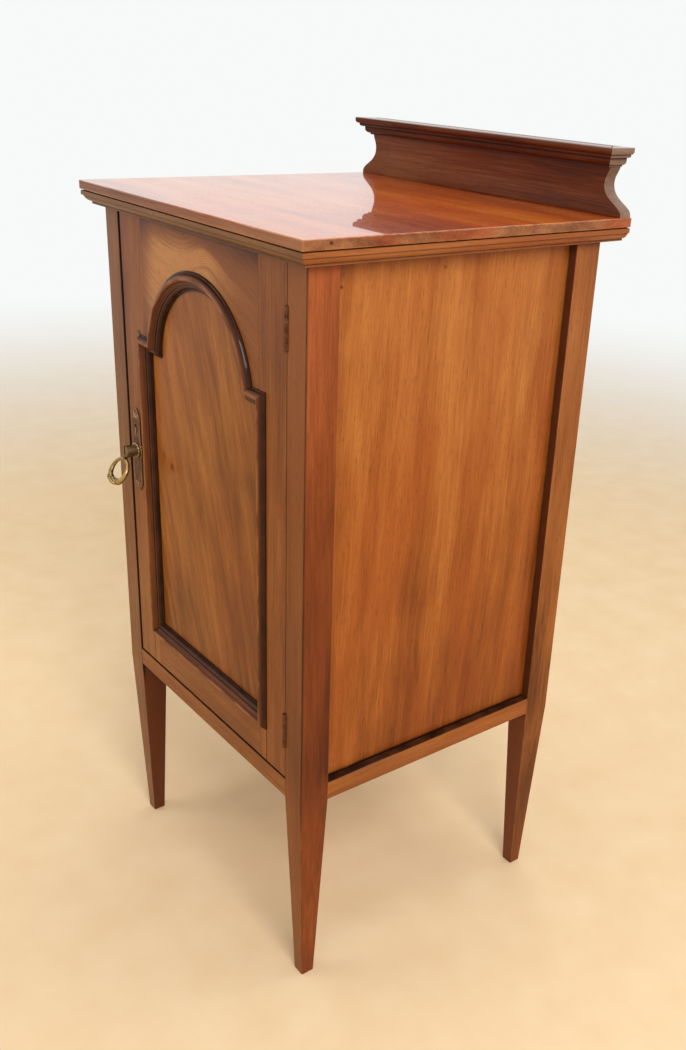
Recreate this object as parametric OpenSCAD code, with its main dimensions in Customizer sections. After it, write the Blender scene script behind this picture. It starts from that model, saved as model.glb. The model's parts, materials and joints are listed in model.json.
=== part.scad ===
// A small mahogany cupboard on tapered legs: one arched-panel door with a drop handle and a lock,
// a moulded top and a low gallery with a cornice along the back.
// Inside each module, x runs from the case's left side, y from its front and z from the floor.

/* [Case] */
// Width over the legs
case_w = 368; // [340:1:420]
// Depth over the legs
case_d = 338; // [300:1:400]
// Height of the top's upper face
top_z = 770; // [740:1:820]
// Thickness of the top board
top_t = 9; // [8:0.5:14]
// How far the top reaches past each side of the case
top_over_side = 19.5; // [16:0.5:26]
// How far the top reaches past the front
top_over_front = 18; // [16:0.5:26]
// How far the top reaches past the back
top_over_back = 18; // [17:0.5:24]

/* [Legs and rails] */
// Width of a leg, seen from the front
leg_w = 28; // [26:0.5:34]
// Depth of a leg, seen from the side
leg_d = 32; // [30:0.5:38]
// Side of the square foot
foot_w = 14; // [10:0.5:22]
// Height where the legs begin to taper, at the underside of the lower rails
taper_z = 223.5; // [180:0.5:260]
// Height of the lower rails
rail_h = 20.5; // [18:0.5:30]
// Thickness of every rail
rail_t = 20; // [18:0.5:24]
// Length of a rail's tenon
tenon_len = 14; // [10:0.5:14]
// Thickness of a rail's tenon
tenon_t = 8; // [5:0.5:8]
// Shoulder above or below a tenon
tenon_shoulder = 3; // [1:0.5:4]

/* [Panels and boards] */
// How far the side panels lie behind the leg faces
panel_set = 9; // [7:0.5:10]
// Thickness of the side panels
panel_t = 8; // [5:0.5:9]
// How far the back panel lies in from the back
back_set = 6; // [4:0.5:7]
// Thickness of the back panel
back_t = 6; // [4:0.5:7]
// Depth of the grooves that hold the panels
groove_d = 5; // [3:0.5:6]
// Thickness of the bottom board
bottom_t = 12; // [9:0.5:14]
// Height of the shelf's upper face
shelf_z = 490; // [420:1:560]
// Thickness of the shelf
shelf_t = 10; // [8:0.5:14]
// Width of a shelf bearer
bearer_w = 12; // [8:0.5:16]
// Height of a shelf bearer
bearer_h = 14; // [10:0.5:20]
// Side of a glue block
block_w = 14; // [10:0.5:18]
// Length of a glue block
block_len = 40; // [20:1:60]
// Width of the door stop
stop_w = 8; // [5:0.5:10]
// Depth of the door stop
stop_d = 10; // [6:0.5:10]

/* [Top moulding] */
// How far the moulding lies in from the top's edge
mould_in = 1; // [0.5:0.5:3]
// Height of the shadow groove under the top
quirk_h = 1; // [0.5:0.1:2]
// Depth of the shadow groove
quirk_d = 3; // [2:0.5:5]
// Height of the upper fillet
mould_fillet_h = 4.5; // [3:0.5:7]
// Height of the hollow
mould_cove_h = 5.5; // [4:0.5:8]
// Width of the hollow
mould_cove_w = 5; // [3:0.5:7]
// Width of the step above and below the hollow
mould_step = 1.5; // [1:0.25:2.5]
// Height of the lower fillet
mould_foot_h = 2.5; // [1.5:0.5:4]

/* [Gallery] */
// Height of the gallery above the top
gallery_h = 62; // [52:1:90]
// Thickness of the gallery board
gallery_t = 15; // [12:0.5:18]
// How far the gallery lies in from the top's back edge
gallery_in = 2; // [0:0.5:6]
// How far the gallery's feet reach past the case's sides
gallery_foot = 19; // [12:0.5:22]
// How far the gallery's waist lies inside the case's sides
gallery_waist = 5; // [0:0.5:10]
// Height of the waist above the top
gallery_waist_h = 26; // [22:1:32]
// How far the cornice stands out from the gallery
cornice_out = 16.4; // [15:0.1:22]
// How far each cornice return stands out past the case's side
cornice_end = 14.2; // [14:0.1:20]
// Height of the cornice
cornice_h = 17.8; // [17:0.1:22]
// Width of each of the cornice's three hollows
cornice_steps = [3.6, 4.6, 4.7]; // [3:0.1:5]
// Height of each of those hollows
cornice_hollows = [3.3, 1.6, 4.5]; // [1:0.1:5]
// Height of each of the cornice's three fillets
cornice_fillets = [3, 1.7, 2.3]; // [1:0.1:4]

/* [Door] */
// Gap at each side of the door
door_gap = 2; // [1.5:0.1:3]
// Gap above and below the door
door_gap_z = 1.5; // [1:0.1:3]
// How far the door's face lies behind the leg faces
door_set = 1; // [0.5:0.1:3]
// Thickness of the door
door_t = 20; // [19:0.5:22]
// Width of the stiles, and of the bottom rail less the rebate for the moulding
stile_w = 45; // [42:0.5:52]
// Height of the bottom rail
door_foot_h = 48; // [44:0.5:60]
// Depth from the door's face to the panel's face
door_panel_set = 5; // [3:0.5:5.5]
// Thickness of the door's panel
door_panel_t = 6; // [4:0.5:6.5]
// Length of the door rails' tenons
door_tenon_len = 25; // [15:1:28]
// Shoulder at the outer end of a door tenon
door_tenon_shoulder = 8; // [4:0.5:14]

/* [Door moulding] */
// Width of the moulding
bead_w = 17; // [15:0.5:20]
// How much of the width lies on the frame
bead_on = 11.5; // [9.5:0.5:12.5]
// How far the moulding's ridge stands proud of the door
bead_h = 6; // [4:0.5:8]
// Length of a shoulder beside the arch
shoulder_l = 22.5; // [19:0.1:32]
// Height of the door above the arch's moulding
arch_over = 36.5; // [30:0.5:60]
// Height of the shoulders above the arch's centre
arch_rise = 18; // [17.5:0.5:28]
// Radius of the moulding's small outer fillet
bead_lip = 1.2; // [0.8:0.1:1.6]
// Height of the moulding's inner foot on the panel
bead_foot_h = 1.6; // [1:0.1:2]

/* [Hinges] */
// Length of a hinge
hinge_l = 38; // [30:1:50]
// Distance from the door's end to a hinge
hinge_in = 36; // [25:1:80]
// Width of a leaf
leaf_w = 11; // [9:0.5:14]
// Thickness of a leaf
leaf_t = 1; // [0.8:0.1:1.5]
// Radius of the knuckles
knuckle_r = 2.3; // [2:0.1:3]
// Radius of the hinge pins
hinge_pin_r = 1.1; // [0.8:0.05:1.3]
// Radius of the hinge screws
hinge_screw_r = 1.25; // [1:0.05:1.5]
// Length of the hinge screws
hinge_screw_len = 12; // [8:0.5:16]

/* [Lock] */
// Height of the bolt's centre
bolt_z = 507; // [500:1:515]
// Height of the bolt
bolt_h = 7.4; // [5:0.1:8]
// Thickness of the bolt
bolt_t = 4.2; // [3:0.1:5]
// Length of the bolt
bolt_len = 24; // [20:0.5:25]
// How far the bolt slides out
bolt_throw = 7; // [5:0.5:9]
// Height of the keyhole's round part
key_z = 524.5; // [520:0.5:530]
// Radius of the keyhole's round part
keyhole_r = 2.4; // [1.8:0.1:3]
// Width of the keyhole's slot
keyhole_w = 2; // [1.4:0.1:2.6]
// Length of the keyhole's slot, from the round part's centre
keyhole_l = 10; // [7:0.5:12]
// Height of the lock's plates
lock_plate_h = 46; // [44:0.5:50]
// Width of the lock's back plate
lock_plate_w = 32; // [31:0.5:36]
// Height of the lock's box
lock_box_h = 36; // [34:0.5:40]
// Width of the lock's box
lock_box_w = 27; // [26.5:0.5:28]
// Depth of the lock
lock_d = 9; // [8:0.5:10]
// Wall thickness of the lock
lock_wall = 1; // [0.8:0.1:1.2]
// Thickness of the keep
keep_t = 0.8; // [0.5:0.1:1]
// Height of the keep
keep_h = 20; // [16:0.5:30]
// Radius of the small lock and keep screws
lock_screw_r = 1; // [0.8:0.05:1.25]
// Length of the small lock and keep screws
lock_screw_len = 8; // [5:0.5:10]

/* [Handle] */
// Distance from the door's edge to the handle's centre
handle_in = 15.7; // [14:0.1:20]
// Height of the handle's centre
handle_z = 498; // [492:0.5:500]
// Width of the plate's straight part
plate_w = 17; // [14:0.5:19]
// Width of the plate across its middle and its ends
plate_wide = 22; // [18:0.5:24]
// Height of the plate
plate_h = 93; // [86:1:110]
// Thickness of the plate
plate_t = 1.6; // [1:0.1:2.5]
// Distance of the plate's pins from its ends
plate_pin_in = 4; // [3:0.5:6]
// Radius of the plate's pins
plate_pin_r = 0.7; // [0.5:0.05:1]
// Length of the plate's pins
plate_pin_len = 9; // [6:0.5:10]
// Radius of the post's drum
drum_r = 6.5; // [6:0.1:8]
// Distance from the plate to the post's front
post_len = 14.4; // [13.5:0.1:18]
// Radius of the post's foot
post_foot_r = 8; // [7:0.1:9]
// Radius of the post's screw
post_screw_r = 2; // [1.5:0.1:2.5]
// Length of the post's screw in the door
post_screw_len = 9; // [6:0.5:9.5]
// Width of the slot in the post
slot_w = 3.4; // [3:0.1:4]
// Depth of the slot in the post
slot_d = 11; // [10:0.1:12]
// Distance from the post's front to the pivot pin
pivot_in = 5; // [4.5:0.1:6]
// Radius of the pivot pin
pivot_r = 1.2; // [1:0.05:1.6]
// Radius of the drop's eye
eye_r = 4.2; // [3.5:0.1:4.5]
// Width of the drop, between the centres of its strands
drop_w = 31; // [28:0.5:36]
// Distance from the pivot to the middle of the drop's grip
drop_len = 35.5; // [33:0.5:40]
// Distance from the pivot to the middle of the drop's top
drop_top = 10.6; // [10.6:0.1:12]
// Radius of the drop's strands
strand_r = 1.9; // [1.5:0.1:2]
// Radius of the drop's grip
grip_r = 4.2; // [3:0.1:4.5]
// How far the drop stands out from the plate at rest
drop_tilt = 33; // [0:1:60]

/* [Fixings] */
// Radius of the top's screws
top_screw_r = 1.75; // [1.5:0.05:2]
// Length of the top's screws
top_screw_len = 19; // [16:0.5:20]
// Length of the gallery's screws
gallery_screw_len = 24; // [18:1:30]
// Distance from the case's side to the outer screws
screw_in = 70; // [50:1:110]

/* [Clearances] */
// Clearance round a tongue, tenon or let-in plate
fit = 0.15; // [0.05:0.05:0.3]
// Clearance between pieces that pass or rest near each other
rest_gap = 0.3; // [0.2:0.05:0.4]
// Running clearance round a pin
run_fit = 0.05; // [0.02:0.01:0.08]

/* [Hidden] */
$fn = 64;

mahogany = "sienna";
mahogany_dark = "saddlebrown";
inner_wood = "burlywood";
brass = "darkgoldenrod";
steel = "gray";

// Heights, and the middle of the width
case_top = top_z - top_t;
// How far a cutting shape reaches past what it cuts
past = 1;
mould_h = quirk_h + mould_fillet_h + mould_cove_h + mould_foot_h;
upper_z = case_top - mould_h;
lower_top = taper_z + rail_h;
mid_x = case_w / 2;

// The frame's origin lies on the floor, midway between the drop's front and the top's back edge
plate_front = door_set - plate_t;
pivot_y = plate_front - post_len + pivot_in;
drop_reach = drop_len * sin(drop_tilt) + grip_r - pivot_y;
front_y = (drop_reach - case_d - top_over_back) / 2;

// Panels
panel_x = [panel_set, panel_set + panel_t];
back_y = [case_d - back_set - back_t, case_d - back_set];
panel_z = [lower_top - groove_d, upper_z + groove_d];

// Tenons keep clear of the panel grooves
tenon_web = 1;
lower_tenon_z = [taper_z + tenon_shoulder, lower_top - groove_d - tenon_web];
upper_tenon_z = [upper_z + groove_d + tenon_web, case_top - tenon_shoulder / 2];

// Gallery
gallery_y = [case_d + top_over_back - gallery_in - gallery_t, case_d + top_over_back - gallery_in];

// Door
door_x = [leg_w + door_gap, case_w - leg_w - door_gap];
door_z = [lower_top + door_gap_z, upper_z - door_gap_z];
door_y = [door_set, door_set + door_t];
frame_half = door_x[1] - mid_x - stile_w;
bead_half = frame_half + bead_on;
arch_r = norm([bead_half - shoulder_l, arch_rise]);
arch_z = door_z[1] - arch_over - arch_r;
bead_z = [door_z[0] + door_foot_h - bead_on, arch_z + arch_rise];
door_groove = 6;

// Hinges
hinge_x = case_w - leg_w - door_gap / 2;
hinge_z = [door_z[0] + hinge_in, door_z[1] - hinge_in - hinge_l];
knuckles = 5;
knuckle_l = hinge_l / knuckles;
knuckle_gap = 0.2;
hinge_screw_z = [0.2, 0.8];

// Lock
handle_x = door_x[0] + handle_in;
lock_z = key_z - 4.5;
lock_y = [door_y[1] - lock_d, door_y[1]];
bolt_y = [lock_y[0] + lock_wall + rest_gap, lock_y[0] + lock_wall + rest_gap + bolt_t];
bolt_home = door_x[0] + fit;
mortise_end = 2;
key_pin_r = 1.2;

// A box between two corners
module box(from, to) {
    translate(from)
        cube(to - from);
}

// Puts what is drawn in the case's own places into the part's frame
module in_case() {
    translate([-case_w / 2, front_y, 0])
        children();
}

// Turns what is drawn for the left side over to the right
module on_right() {
    translate([case_w, 0, 0])
        mirror([1, 0, 0])
            children();
}

// Turns what is drawn for the front over to the back
module at_back() {
    translate([0, case_d, 0])
        mirror([0, 1, 0])
            children();
}

// A point on a cubic curve with four control points
function curve_at(p, t) =
    pow(1 - t, 3) * p[0] + 3 * t * pow(1 - t, 2) * p[1] + 3 * t * t * (1 - t) * p[2] + pow(t, 3) * p[3];

// Points along a cubic curve, without its first point
function curve(p, steps) = [for (i = [1 : steps]) curve_at(p, i / steps)];

// Points along a hollow quarter turn between two corners of its box, without its first point
function quarter(from, to, steps) = [
    for (i = [1 : steps])
        let (a = 90 * i / steps)
        [from[0] + (to[0] - from[0]) * (1 - cos(a)), from[1] + (to[1] - from[1]) * sin(a)]
];

// A countersunk wood screw that points up from its flat head
module wood_screw(r, len) {
    head_r = 2 * r;
    difference() {
        union() {
            cylinder(r1 = head_r, r2 = r, h = head_r - r);
            cylinder(r = r, h = len - 2 * r);
            translate([0, 0, len - 2 * r])
                cylinder(r1 = r, r2 = r / 4, h = 2 * r);
        }
        translate([-head_r, -r / 5, -r])
            cube([2 * head_r, r / 2.5, 1.5 * r]);
    }
}

// The hole for that screw
module screw_hole(r, len) {
    head_r = 2 * r + run_fit;
    cylinder(r1 = head_r, r2 = r + run_fit, h = head_r - r - run_fit);
    cylinder(r = r + run_fit, h = len);
    translate([0, 0, -1])
        cylinder(r = head_r, h = 1);
}

// ---- Case ----

// A leg's outline, the same from the front and from the side
module leg_outline(w) {
    inset = (w - foot_w) / 2;
    polygon([
        [inset, 0],
        [w - inset, 0],
        [w, taper_z],
        [w, case_top],
        [0, case_top],
        [0, taper_z]
    ]);
}

module leg_blank() {
    intersection() {
        translate([0, leg_d, 0])
            rotate([90, 0, 0])
                linear_extrude(leg_d)
                    leg_outline(leg_w);
        rotate([90, 0, 90])
            linear_extrude(leg_w)
                leg_outline(leg_d);
    }
}

// The bars whose ends are the side rails' tenons
module side_tenons(z, grow = 0) {
    mid = rail_t / 2;
    box([mid - tenon_t / 2 - grow, leg_d - tenon_len - grow, z[0] - grow],
        [mid + tenon_t / 2 + grow, case_d - leg_d + tenon_len + grow, z[1] + grow]);
}

// The bars whose ends are the front rails' tenons
module cross_tenons(z, grow = 0) {
    mid = rail_t / 2;
    box([leg_w - tenon_len - grow, mid - tenon_t / 2 - grow, z[0] - grow],
        [case_w - leg_w + tenon_len + grow, mid + tenon_t / 2 + grow, z[1] + grow]);
}

// A side panel, or the space that it needs; it stands on the floor of the rail's groove
module side_board(grow = 0) {
    box([panel_x[0] - grow, leg_d - groove_d + rest_gap - grow * 3, panel_z[0]],
        [panel_x[1] + grow, case_d - leg_d + groove_d - rest_gap + grow * 3, panel_z[1] - rest_gap + grow * 3]);
}

module back_board(grow = 0) {
    box([leg_w - groove_d + rest_gap - grow * 3, back_y[0] - grow, panel_z[0]],
        [case_w - leg_w + groove_d - rest_gap + grow * 3, back_y[1] + grow, panel_z[1] - rest_gap + grow * 3]);
}

// Both side rails' joints and the side panel's groove, as a leg on the left needs them
module side_joints() {
    side_tenons(lower_tenon_z, fit);
    side_tenons(upper_tenon_z, fit);
    side_board(fit);
}

module cross_joints() {
    cross_tenons(lower_tenon_z, fit);
    cross_tenons(upper_tenon_z, fit);
}

module front_leg_left() {
    difference() {
        leg_blank();
        side_joints();
        cross_joints();
        bolt_space(rest_gap, bolt_throw + mortise_end);
        keep_screw_holes();
    }
}

module front_leg_right() {
    difference() {
        on_right() leg_blank();
        on_right() side_joints();
        cross_joints();
        hinge_spaces(case_side = true);
    }
}

module rear_leg() {
    difference() {
        at_back() leg_blank();
        side_joints();
        at_back() cross_joints();
        back_board(fit);
    }
}

module leg_front_left() {
    color(mahogany)
        in_case() front_leg_left();
}

module leg_front_right() {
    color(mahogany)
        in_case() front_leg_right();
}

module leg_rear_left() {
    color(mahogany)
        in_case() rear_leg();
}

module leg_rear_right() {
    color(mahogany)
        in_case() on_right() rear_leg();
}

// A rail along the left side, between the legs
module side_rail(z, tenon_z) {
    difference() {
        union() {
            box([0, leg_d, z[0]], [rail_t, case_d - leg_d, z[1]]);
            side_tenons(tenon_z);
        }
        side_board(fit);
    }
}

// A rail along the front, between the legs
module cross_rail(z, tenon_z) {
    box([leg_w, 0, z[0]], [case_w - leg_w, rail_t, z[1]]);
    cross_tenons(tenon_z);
}

lower_z = [taper_z, lower_top];
upper_rail_z = [upper_z, case_top];

module lower_rail_front() {
    color(mahogany)
        in_case() cross_rail(lower_z, lower_tenon_z);
}

module lower_rail_rear() {
    color(mahogany_dark)
        in_case() difference() {
            at_back() cross_rail(lower_z, lower_tenon_z);
            back_board(fit);
        }
}

module lower_rail_left() {
    color(mahogany)
        in_case() side_rail(lower_z, lower_tenon_z);
}

module lower_rail_right() {
    color(mahogany)
        in_case() on_right() side_rail(lower_z, lower_tenon_z);
}

module upper_rail_front() {
    color(inner_wood)
        in_case() difference() {
            cross_rail(upper_rail_z, upper_tenon_z);
            top_screw_holes();
        }
}

module upper_rail_rear() {
    color(inner_wood)
        in_case() difference() {
            at_back() cross_rail(upper_rail_z, upper_tenon_z);
            back_board(fit);
            top_screw_holes();
        }
}

module upper_rail_left() {
    color(inner_wood)
        in_case() side_rail(upper_rail_z, upper_tenon_z);
}

module upper_rail_right() {
    color(inner_wood)
        in_case() on_right() side_rail(upper_rail_z, upper_tenon_z);
}

module side_panel_left() {
    color(mahogany)
        in_case() side_board();
}

module side_panel_right() {
    color(mahogany)
        in_case() on_right() side_board();
}

module back_panel() {
    color(mahogany_dark)
        in_case() back_board();
}

// The four legs' square stock, grown a little, for boards that are notched round them
module leg_posts() {
    for (x = [0, case_w - leg_w], y = [0, case_d - leg_d])
        box([x - rest_gap, y - rest_gap, taper_z], [x + leg_w + rest_gap, y + leg_d + rest_gap, case_top]);
}

module bottom_board() {
    inner = rail_t + rest_gap;
    color(inner_wood)
        in_case() difference() {
            box([inner, inner, lower_top - bottom_t], [case_w - inner, case_d - inner, lower_top]);
            leg_posts();
        }
}

// Blocks in the angle between the rails and the underside of the bottom board
module glue_blocks() {
    z = [lower_top - bottom_t - block_h(), lower_top - bottom_t];
    side_run = (case_d - 2 * leg_d) / 4;
    color(inner_wood)
        in_case() {
            for (y = [leg_d + side_run, case_d - leg_d - side_run]) {
                box([rail_t, y - block_len / 2, z[0]], [rail_t + block_w, y + block_len / 2, z[1]]);
                on_right()
                    box([rail_t, y - block_len / 2, z[0]], [rail_t + block_w, y + block_len / 2, z[1]]);
            }
            box([mid_x - block_len / 2, rail_t, z[0]], [mid_x + block_len / 2, rail_t + block_w, z[1]]);
            at_back()
                box([mid_x - block_len / 2, rail_t, z[0]], [mid_x + block_len / 2, rail_t + block_w, z[1]]);
        }
}

// A glue block reaches down to the underside of the rails at most
function block_h() = min(block_w, rail_h - bottom_t);

module shelf() {
    side = panel_x[1] + rest_gap;
    color(inner_wood)
        in_case() difference() {
            box([side, leg_d + rest_gap, shelf_z - shelf_t], [case_w - side, back_y[0] - rest_gap, shelf_z]);
            leg_posts();
        }
}

module bearer() {
    box([panel_x[1], leg_d, shelf_z - shelf_t - bearer_h],
        [panel_x[1] + bearer_w, case_d - leg_d, shelf_z - shelf_t]);
}

module shelf_bearers() {
    color(inner_wood)
        in_case() {
            bearer();
            on_right() bearer();
        }
}

// The door closes against this strip on the left leg
module door_stop() {
    color(mahogany_dark)
        in_case() box([leg_w, door_y[1] + rest_gap, lower_top],
            [leg_w + stop_w, door_y[1] + rest_gap + stop_d, upper_z]);
}

// ---- Top ----

module top_board() {
    color(mahogany)
        in_case() difference() {
            box([-top_over_side, -top_over_front, case_top],
                [case_w + top_over_side, case_d + top_over_back, top_z]);
            top_screw_holes();
            gallery_screw_holes();
        }
}

// The moulding's section: x outwards from the case, y down from the top board
module top_section(out) {
    fillet_z = quirk_h + mould_fillet_h;
    cove_x = out - mould_step;
    cove_z = fillet_z + mould_cove_h;
    polygon(concat(
        [
            [0, 0],
            [out - quirk_d, 0],
            [out - quirk_d, -quirk_h],
            [out, -quirk_h],
            [out, -fillet_z],
            [cove_x, -fillet_z]
        ],
        curve([
            [cove_x, -fillet_z],
            [cove_x - mould_cove_w / 4, -fillet_z - mould_cove_h / 2],
            [cove_x - mould_cove_w / 2, -cove_z + mould_cove_h / 5],
            [cove_x - mould_cove_w, -cove_z]
        ], 6),
        [
            [cove_x - mould_cove_w - mould_step, -cove_z],
            [cove_x - mould_cove_w - mould_step, -mould_h],
            [0, -mould_h]
        ]
    ));
}

side_out = top_over_side - mould_in;
front_out = top_over_front - mould_in;

// The plan of the front length, cut at 45 degrees through the moulding's outer corners
module front_mitre() {
    reach = max(side_out, front_out) + rail_t;
    linear_extrude(top_z)
        polygon([
            [-side_out - 2 * past, -front_out - 2 * past],
            [case_w + side_out + 2 * past, -front_out - 2 * past],
            [case_w + side_out - reach, -front_out + reach],
            [-side_out + reach, -front_out + reach]
        ]);
}

module top_moulding_front() {
    color(mahogany)
        in_case() intersection() {
            translate([-side_out - past, 0, case_top])
                rotate([90, 0, 90])
                    linear_extrude(case_w + 2 * (side_out + past))
                        mirror([1, 0])
                            top_section(front_out);
            front_mitre();
        }
}

module top_moulding_side() {
    difference() {
        translate([0, case_d + top_over_back, case_top])
            rotate([90, 0, 0])
                linear_extrude(case_d + top_over_back + front_out + past)
                    mirror([1, 0])
                        top_section(side_out);
        front_mitre();
    }
}

module top_moulding_left() {
    color(mahogany)
        in_case() top_moulding_side();
}

module top_moulding_right() {
    color(mahogany)
        in_case() on_right() top_moulding_side();
}

// Half of the gallery's outline from the foot up, as x past the case's side and y above the top
function gallery_side() = concat(
    [[gallery_foot, 0], [gallery_foot, 2]],
    curve([
        [gallery_foot, 2],
        [gallery_foot - 1, 10],
        [-gallery_waist, 12],
        [-gallery_waist, gallery_waist_h]
    ], 14),
    curve([
        [-gallery_waist, gallery_waist_h],
        [-gallery_waist, gallery_waist_h + 8],
        [0, gallery_h - cornice_h - 6],
        [0, gallery_h - cornice_h]
    ], 10),
    [[0, gallery_h]]
);

module gallery_board() {
    side = gallery_side();
    last = len(side) - 1;
    color(mahogany_dark)
        in_case() difference() {
            translate([0, gallery_y[1], top_z])
                rotate([90, 0, 0])
                    linear_extrude(gallery_t)
                        polygon(concat(
                            [for (p = side) [case_w + p[0], p[1]]],
                            [for (i = [0 : last]) [-side[last - i][0], side[last - i][1]]]
                        ));
            gallery_screw_holes();
        }
}

// The cornice's section: x outwards from its back, y down from its top
module cornice_section(out) {
    tops = [
        for (i = 0, x = out, y = 0; i < 3;
            y = y - cornice_fillets[i] - cornice_hollows[i], x = x - cornice_steps[i], i = i + 1)
            [x, y]
    ];
    polygon(concat(
        [[0, 0], [out, 0]],
        [
            for (i = [0 : 2])
                let (top = tops[i] - [0, cornice_fillets[i]])
                each concat([top], quarter(top, top - [cornice_steps[i], cornice_hollows[i]], 6))
        ],
        [[tops[2][0] - cornice_steps[2], -cornice_h], [0, -cornice_h]]
    ));
}

// The corner that two lengths of cornice share, and where their mitre meets the gallery's end
cornice_corner = [-cornice_end, gallery_y[0] - cornice_out];
cornice_inner = [0, cornice_corner[1] + cornice_end];

module gallery_cornice_front() {
    color(mahogany_dark)
        in_case() intersection() {
            translate([-cornice_end - past, gallery_y[0], top_z + gallery_h])
                rotate([90, 0, 90])
                    linear_extrude(case_w + 2 * (cornice_end + past))
                        mirror([1, 0])
                            cornice_section(cornice_out);
            linear_extrude(top_z + gallery_h + past)
                polygon([
                    cornice_corner - 2 * [past, past],
                    [case_w + cornice_end + 2 * past, cornice_corner[1] - 2 * past],
                    [case_w, cornice_inner[1]],
                    [case_w, gallery_y[0] + cornice_end],
                    [0, gallery_y[0] + cornice_end],
                    cornice_inner
                ]);
        }
}

// A return is the same moulding, no deeper than to the gallery's end, and cut to the mitre
module cornice_return() {
    difference() {
        translate([cornice_out - cornice_end, gallery_y[1], top_z + gallery_h])
            rotate([90, 0, 0])
                linear_extrude(gallery_t + cornice_out + past)
                    intersection() {
                        mirror([1, 0])
                            cornice_section(cornice_out);
                        translate([-cornice_out - past, -cornice_h - past])
                            square([cornice_end + past, cornice_h + 2 * past]);
                    }
        linear_extrude(top_z + gallery_h + past)
            polygon([
                cornice_corner - 2 * [past, past],
                [past, cornice_corner[1] - 2 * past],
                cornice_inner + [past, past]
            ]);
    }
}

module gallery_cornice_left() {
    color(mahogany_dark)
        in_case() cornice_return();
}

module gallery_cornice_right() {
    color(mahogany_dark)
        in_case() on_right() cornice_return();
}

// Where the top's screws pass the front and rear rails, clear of the back panel's groove
top_screw_places = [
    for (x = [screw_in, case_w - screw_in], y = [rail_t / 2, case_d - rail_t + 2.3 * top_screw_r])
        [x, y, upper_z]
];

module top_screw_holes() {
    for (p = top_screw_places)
        translate(p)
            screw_hole(top_screw_r, top_screw_len + rest_gap);
}

module top_screws() {
    color(steel)
        in_case() for (p = top_screw_places)
            translate(p)
                wood_screw(top_screw_r, min(top_screw_len, mould_h + top_t - 2));
}

gallery_screw_places = [
    for (x = [screw_in, mid_x, case_w - screw_in])
        [x, (gallery_y[0] + gallery_y[1]) / 2, case_top]
];

module gallery_screw_holes() {
    for (p = gallery_screw_places)
        translate(p)
            screw_hole(top_screw_r, gallery_screw_len + rest_gap);
}

module gallery_screws() {
    color(steel)
        in_case() for (p = gallery_screw_places)
            translate(p)
                wood_screw(top_screw_r, gallery_screw_len);
}

// ---- Door ----

// Draws in the door's plane: x across from its middle, y up from the floor, z out of its face
module on_door() {
    translate([mid_x, door_set, 0])
        rotate([90, 0, 0])
            children();
}

// The arched outline at a distance inside the moulding's outer edge
module arched(inside) {
    half = bead_half - inside;
    translate([-half, bead_z[0] + inside])
        square([2 * half, bead_z[1] - bead_z[0] - 2 * inside]);
    intersection() {
        translate([0, arch_z])
            circle(arch_r - inside, $fn = 128);
        translate([-arch_r, arch_z - arch_rise])
            square([2 * arch_r, arch_rise + arch_r]);
    }
}

// The opening in the frame and the groove for the panel
module panel_space() {
    on_door() {
        translate([0, 0, -door_t - 1])
            linear_extrude(door_t + 2)
                arched(bead_on);
        translate([0, 0, -door_panel_set - door_panel_t - fit])
            linear_extrude(door_panel_t + 2 * fit)
                arched(bead_on - door_groove);
    }
}

panel_back = door_set + door_panel_set + door_panel_t;
door_tenon_y = [panel_back - door_panel_t, panel_back];
door_tenon_x = [mid_x - frame_half - door_tenon_len, mid_x + frame_half + door_tenon_len];
foot_tenon_z = [
    door_z[0] + door_tenon_shoulder,
    bead_z[0] + bead_on - door_groove - tenon_web
];
head_tenon_z = [
    bead_z[1] - bead_on + door_groove + tenon_web,
    door_z[1] - door_tenon_shoulder
];

module door_tenons(z, grow = 0) {
    box([door_tenon_x[0] - grow, door_tenon_y[0] - grow, z[0] - grow],
        [door_tenon_x[1] + grow, door_tenon_y[1] + grow, z[1] + grow]);
}

module door_stile_lock() {
    color(mahogany)
        in_case() difference() {
            box([door_x[0], door_y[0], door_z[0]], [mid_x - frame_half, door_y[1], door_z[1]]);
            panel_space();
            door_tenons(foot_tenon_z, fit);
            door_tenons(head_tenon_z, fit);
            lock_space();
            keyhole(door_y[0] - 1, lock_y[0] + 1);
            post_screw_hole();
            plate_pin_holes();
        }
}

module door_stile_hinge() {
    color(mahogany)
        in_case() difference() {
            box([mid_x + frame_half, door_y[0], door_z[0]], [door_x[1], door_y[1], door_z[1]]);
            panel_space();
            door_tenons(foot_tenon_z, fit);
            door_tenons(head_tenon_z, fit);
            hinge_spaces(case_side = false);
        }
}

module door_rail_top() {
    color(mahogany)
        in_case() difference() {
            union() {
                box([mid_x - frame_half, door_y[0], bead_z[1] - bead_on],
                    [mid_x + frame_half, door_y[1], door_z[1]]);
                door_tenons(head_tenon_z);
            }
            panel_space();
        }
}

module door_rail_bottom() {
    color(mahogany)
        in_case() {
            box([mid_x - frame_half, door_y[0], door_z[0]],
                [mid_x + frame_half, door_y[1], bead_z[0] + bead_on - door_groove]);
            difference() {
                box([mid_x - frame_half, door_y[0], door_z[0] + tenon_web],
                    [mid_x + frame_half, door_y[1], bead_z[0] + bead_on]);
                panel_space();
            }
            door_tenons(foot_tenon_z);
        }
}

module door_panel() {
    color(mahogany)
        in_case() on_door()
            translate([0, 0, -door_panel_set - door_panel_t])
                linear_extrude(door_panel_t)
                    arched(bead_on - door_groove + rest_gap);
}

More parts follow.
